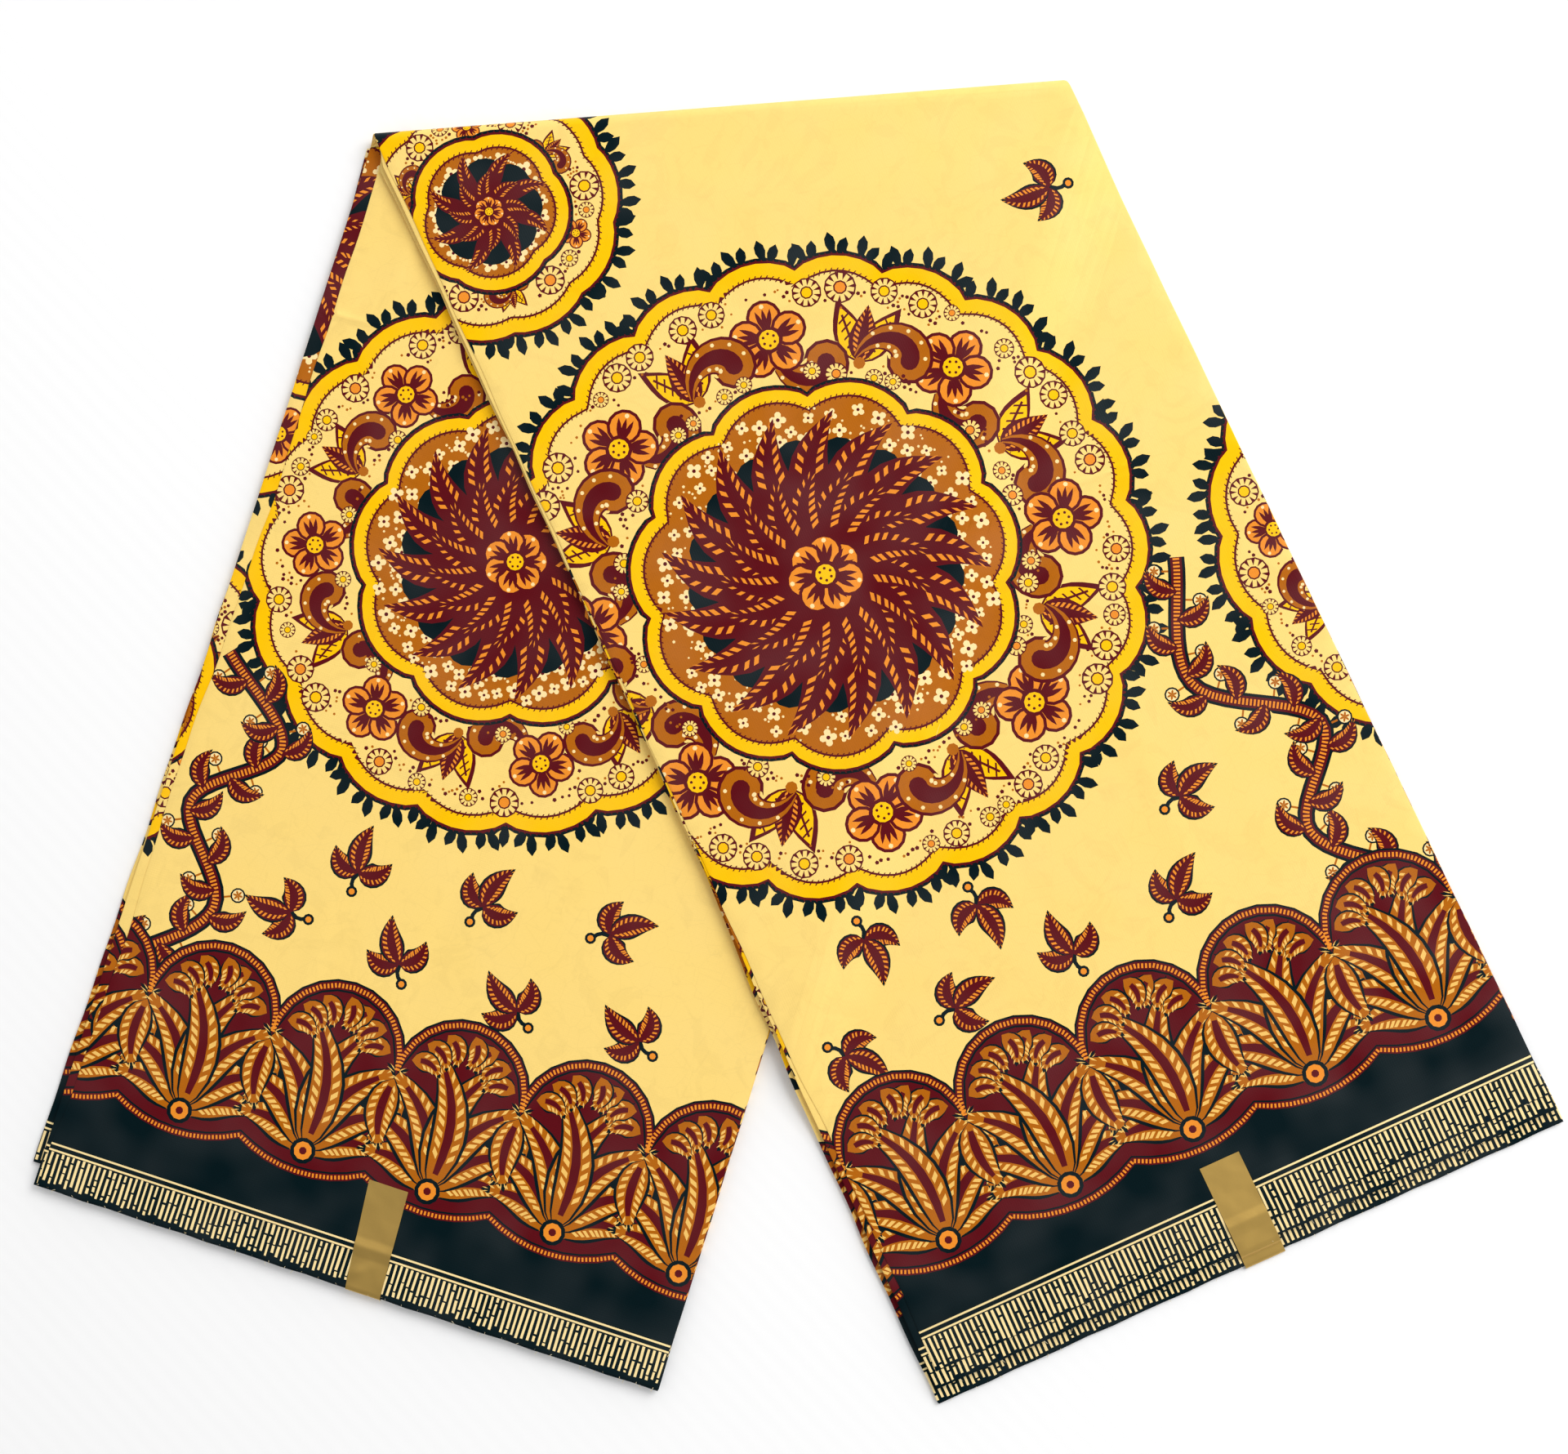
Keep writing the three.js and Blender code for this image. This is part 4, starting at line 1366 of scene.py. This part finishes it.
def seal_grid(line, edges, crumple, seed):
    """Across, along and height of each point of a seal's face, in mm."""
    along, height = np.array(line).T
    gone = np.concatenate([[0], np.cumsum(np.hypot(np.diff(along), np.diff(height)))])
    share = np.linspace(0, 1, SEAL_ROWS)[:, None] * np.ones(SEAL_COLUMNS)
    across = np.linspace(0, 1, SEAL_COLUMNS)[None, :] * np.ones((SEAL_ROWS, 1))
    s, h = (np.interp(share * gone[-1], gone, of) for of in (along, height))
    near_left, near_right, far_left, far_right = edges
    x = (near_left + (far_left - near_left) * share) * (1 - across) \
        + (near_right + (far_right - near_right) * share) * across
    dent = ((share - 0.74) / 0.07) ** 2 + ((across - 0.2 + 2.5 * (share - 0.74)) / 0.2) ** 2
    wobble = np.sin(across * 5.1 + seed) * np.sin(share * 17 + 2 * seed)
    curl = smooth((across - 0.9) / 0.1) * np.sin(share * 9 + seed) ** 2
    return x, s, h + crumple * np.exp(-dent) + 0.09 * wobble * smooth(h / 3) + 0.1 * curl


print("seal lengths:", [round(row[0][-1][0] - row[0][0][0]) for row in (UPPER_SEAL, LOWER_SEAL)], "mm")

# %% Seals
def seal(name, leg, profile, seed):
    """A closed strip of foil: two grids of points and the walls between them."""
    x, s, h = seal_grid(*profile, seed)
    points = [FORMS[leg](x, LEG_LENGTH - s, h - drop).reshape(-1, 3) * MM for drop in (0.0, FOIL_THICKNESS)]
    order = np.arange(SEAL_ROWS * SEAL_COLUMNS).reshape(SEAL_ROWS, SEAL_COLUMNS)
    quads = np.stack([order[:-1, :-1], order[1:, :-1], order[1:, 1:], order[:-1, 1:]], -1).reshape(-1, 4)
    rim = [*order[0], *order[1:, -1], *order[-1, -2::-1], *order[-2:0:-1, 0]]
    walls = [(a, b, order.size + b, order.size + a) for a, b in zip(rim, rim[1:] + rim[:1])]
    made = made_object(name, np.concatenate(points).tolist(), quads.tolist()
                       + (quads[:, ::-1] + order.size).tolist() + np.array(walls).tolist())
    made.data.materials.append(foil)
    made.data.shade_smooth()
    made.data.set_sharp_from_angle(angle=SHARP)
    print(name, len(made.data.polygons), "faces")
    return made


upper_seal = seal("upper_seal", "upper", UPPER_SEAL, 1.0)
lower_seal = seal("lower_seal", "lower", LOWER_SEAL, 4.0)

# %% [markdown]
# ## Loose thread ends
# The selvedges are cut and pressed, but a few cream thread ends stick out of them. They follow the hems,
# so Geometry Nodes scatter thin cones along a line and turn and size each one at random. Each is only a
# few faces, because it is thinner than a pixel.

# %% A tree that frays a line
THREAD_LENGTH, THREAD_RADIUS, THREAD_TIP = 1.7, 0.13, 0.03      # mm

fray, given, FRAY_INPUTS = new_tree("frayed edge", "Edge line", {
    "Spacing": ("Float", 5 * MM), "Thread length": ("Float", THREAD_LENGTH * MM),
    "Thread radius": ("Float", THREAD_RADIUS * MM), "Seed": ("Int", 1), "Material": ("Material", None)},
    "Threads")
line = node(fray, "GeometryNodeMeshToCurve", {"Mesh": given["Edge line"]})
stops = node(fray, "GeometryNodeCurveToPoints", {"Curve": line.outputs["Curve"], "Length": given["Spacing"]},
             mode="LENGTH")
cone = node(fray, "GeometryNodeMeshCone", {"Vertices": 5, "Radius Top": THREAD_TIP * MM,
                                           "Radius Bottom": given["Thread radius"],
                                           "Depth": given["Thread length"]})
lean = node(fray, "FunctionNodeRandomValue", {0: (1.45, 0.0, -1.1), 1: (1.72, 0.0, 1.1),
                                              "Seed": given["Seed"]}, data_type="FLOAT_VECTOR")
size = node(fray, "FunctionNodeRandomValue", {2: 0.25, 3: 1.3, "Seed": given["Seed"]}, data_type="FLOAT")
ends = node(fray, "GeometryNodeInstanceOnPoints", {
    "Points": stops.outputs["Points"], "Instance": cone.outputs["Mesh"], "Rotation": lean.outputs[0],
    "Scale": size.outputs[1]})
finish_tree(fray, ends.outputs["Instances"], given["Material"])
print(len(fray.nodes), "nodes fray a line")

# %% Threads on every hem
# leg, hem past the cut edge, height of the lap's top, spacing, seed
FRAYS = [("upper", -0.5, 5.7, 9.0, 2), ("upper", 7.0, 5.13, 7.0, 3), ("upper", 13.8, 2.28, 6.0, 4),
         ("lower", 0.6, 5.7, 8.0, 5), ("lower", 1.4, 5.13, 7.0, 6)]


def frayed(leg, hem, top, spacing, seed):
    """Threads along one hem."""
    ends = [(x * MM, -hem * MM, -LAP_THICKNESS / 2 * MM) for x in (-HALF_WIDTH + 2, HALF_WIDTH - 2)]
    made = made_object(f"{leg}_thread_{seed}", ends, [], [(0, 1)])
    grown(made, fray, FRAY_INPUTS, {"Spacing": spacing * MM, "Thread length": THREAD_LENGTH * MM,
                                    "Thread radius": THREAD_RADIUS * MM, "Seed": seed, "Material": thread})
    return laid(made, leg, top)


threads = joined("hem_threads", [frayed(*row) for row in FRAYS])
print("threads:", len(threads.data.polygons), "faces")

# %% [markdown]
# ## Table and light
# The cloth lies on a white table near a window at the upper right. A broad soft lamp there and a sky that
# is brighter on that side give thin soft shadows at the left and the bottom, and let the foil catch more
# light where it leans to the window. A sky of one brightness would leave the foil flat.

# %% Table
TABLE_REACH, TABLE_DROP = 3.0, 0.0001       # half its side, and how far it is under the cloth, in metres
corners = [(x * TABLE_REACH, y * TABLE_REACH, -TABLE_DROP) for x, y in ((-1, -1), (1, -1), (1, 1), (-1, 1))]
floor = made_object("table_top", corners, [(0, 1, 2, 3)])
floor.data.materials.append(table)
print("the table is", 2 * TABLE_REACH, "m wide")

# %% Sky and lamp
SKY_DIM, SKY_BRIGHT = 0.42, 0.98
TO_WINDOW = (0.76, 0.65, 0.0)
LAMP_SPOT, LAMP_SIZE, LAMP_WATTS = Vector((1.3, 1.15, 1.9)), 1.4, 37.0

world = bpy.data.worlds.new("studio")
bpy.context.scene.world = world
world.use_nodes = True
tree = world.node_tree
background = tree.nodes["Background"]
background.inputs["Color"].default_value = (1.0, 1.0, 1.0, 1.0)
way = node(tree, "ShaderNodeTexCoord").outputs["Generated"]
towards = node(tree, "ShaderNodeVectorMath", {0: way, 1: TO_WINDOW}, operation="DOT_PRODUCT")
glow = node(tree, "ShaderNodeMapRange", {"Value": towards.outputs["Value"], "From Min": -0.5,
                                         "From Max": 0.5, "To Min": SKY_DIM, "To Max": SKY_BRIGHT})
tree.links.new(glow.outputs["Result"], background.inputs["Strength"])

lamp_data = bpy.data.lights.new("window", "AREA")
lamp_data.shape, lamp_data.energy = "RECTANGLE", LAMP_WATTS
lamp_data.size = lamp_data.size_y = LAMP_SIZE
lamp = bpy.data.objects.new("window", lamp_data)
lamp.matrix_world = Matrix.Translation(LAMP_SPOT) @ LAMP_SPOT.to_track_quat("Z", "Y").to_matrix().to_4x4()
bpy.context.collection.objects.link(lamp)
print(f"the lamp is {LAMP_SPOT.length:.1f} m away")

# %% [markdown]
# ## Camera
# The photo was taken from almost straight above, with a normal lens. The distance and the two small tilts
# were fitted to the corners of both legs. The Standard view keeps the inks as pure as their colour codes.

# %% Camera
CAMERA_TILT = (math.radians(3.102), math.radians(2.64121))
CAMERA_DISTANCE, CAMERA_SHIFT = 1014.295, (-1.65, 3.5, 0.0)     # mm
turned = Matrix.Rotation(CAMERA_TILT[0], 4, "X") @ Matrix.Rotation(CAMERA_TILT[1], 4, "Y")
spot = turned @ Vector((0, 0, CAMERA_DISTANCE * MM)) + Vector(CAMERA_SHIFT) * MM
lens = bpy.data.cameras.new("camera")
lens.lens, lens.sensor_width, lens.sensor_fit = 50.0, 36.0, "HORIZONTAL"
lens.clip_start = 0.01
camera = bpy.data.objects.new("camera", lens)
camera.matrix_world = Matrix.Translation(spot) @ turned
bpy.context.collection.objects.link(camera)
bpy.context.scene.camera = camera
bpy.context.scene.view_settings.view_transform = "Standard"
print("the camera is at", [round(v, 3) for v in spot])

# %% [markdown]
# ## What each piece is
# Every piece rides on the one body, because cloth has no joints. A piece takes the place of the solids
# that it dresses, and those solids are hidden.

# %% Bodies, and the solids that the pieces replace
for piece, nodes, mat in ((upper_sheet, ("upper_leg_sheet", "fold_bend_sheet"), "printed_cotton"),
                          (lower_sheet, ("lower_leg_sheet",), "printed_cotton"),
                          (upper_laps, ("upper_leg_laps", "fold_bend_laps"), "printed_cotton_edges"),
                          (lower_laps, ("lower_leg_laps",), "printed_cotton_edges"),
                          (upper_seal, ("upper_hem_seal",), "gold_foil"),
                          (lower_seal, ("lower_hem_seal",), "gold_foil")):
    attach(piece, "root")
    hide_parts(*nodes)
for piece in (threads, upper_underlap, lower_underlap):
    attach(piece, "root")
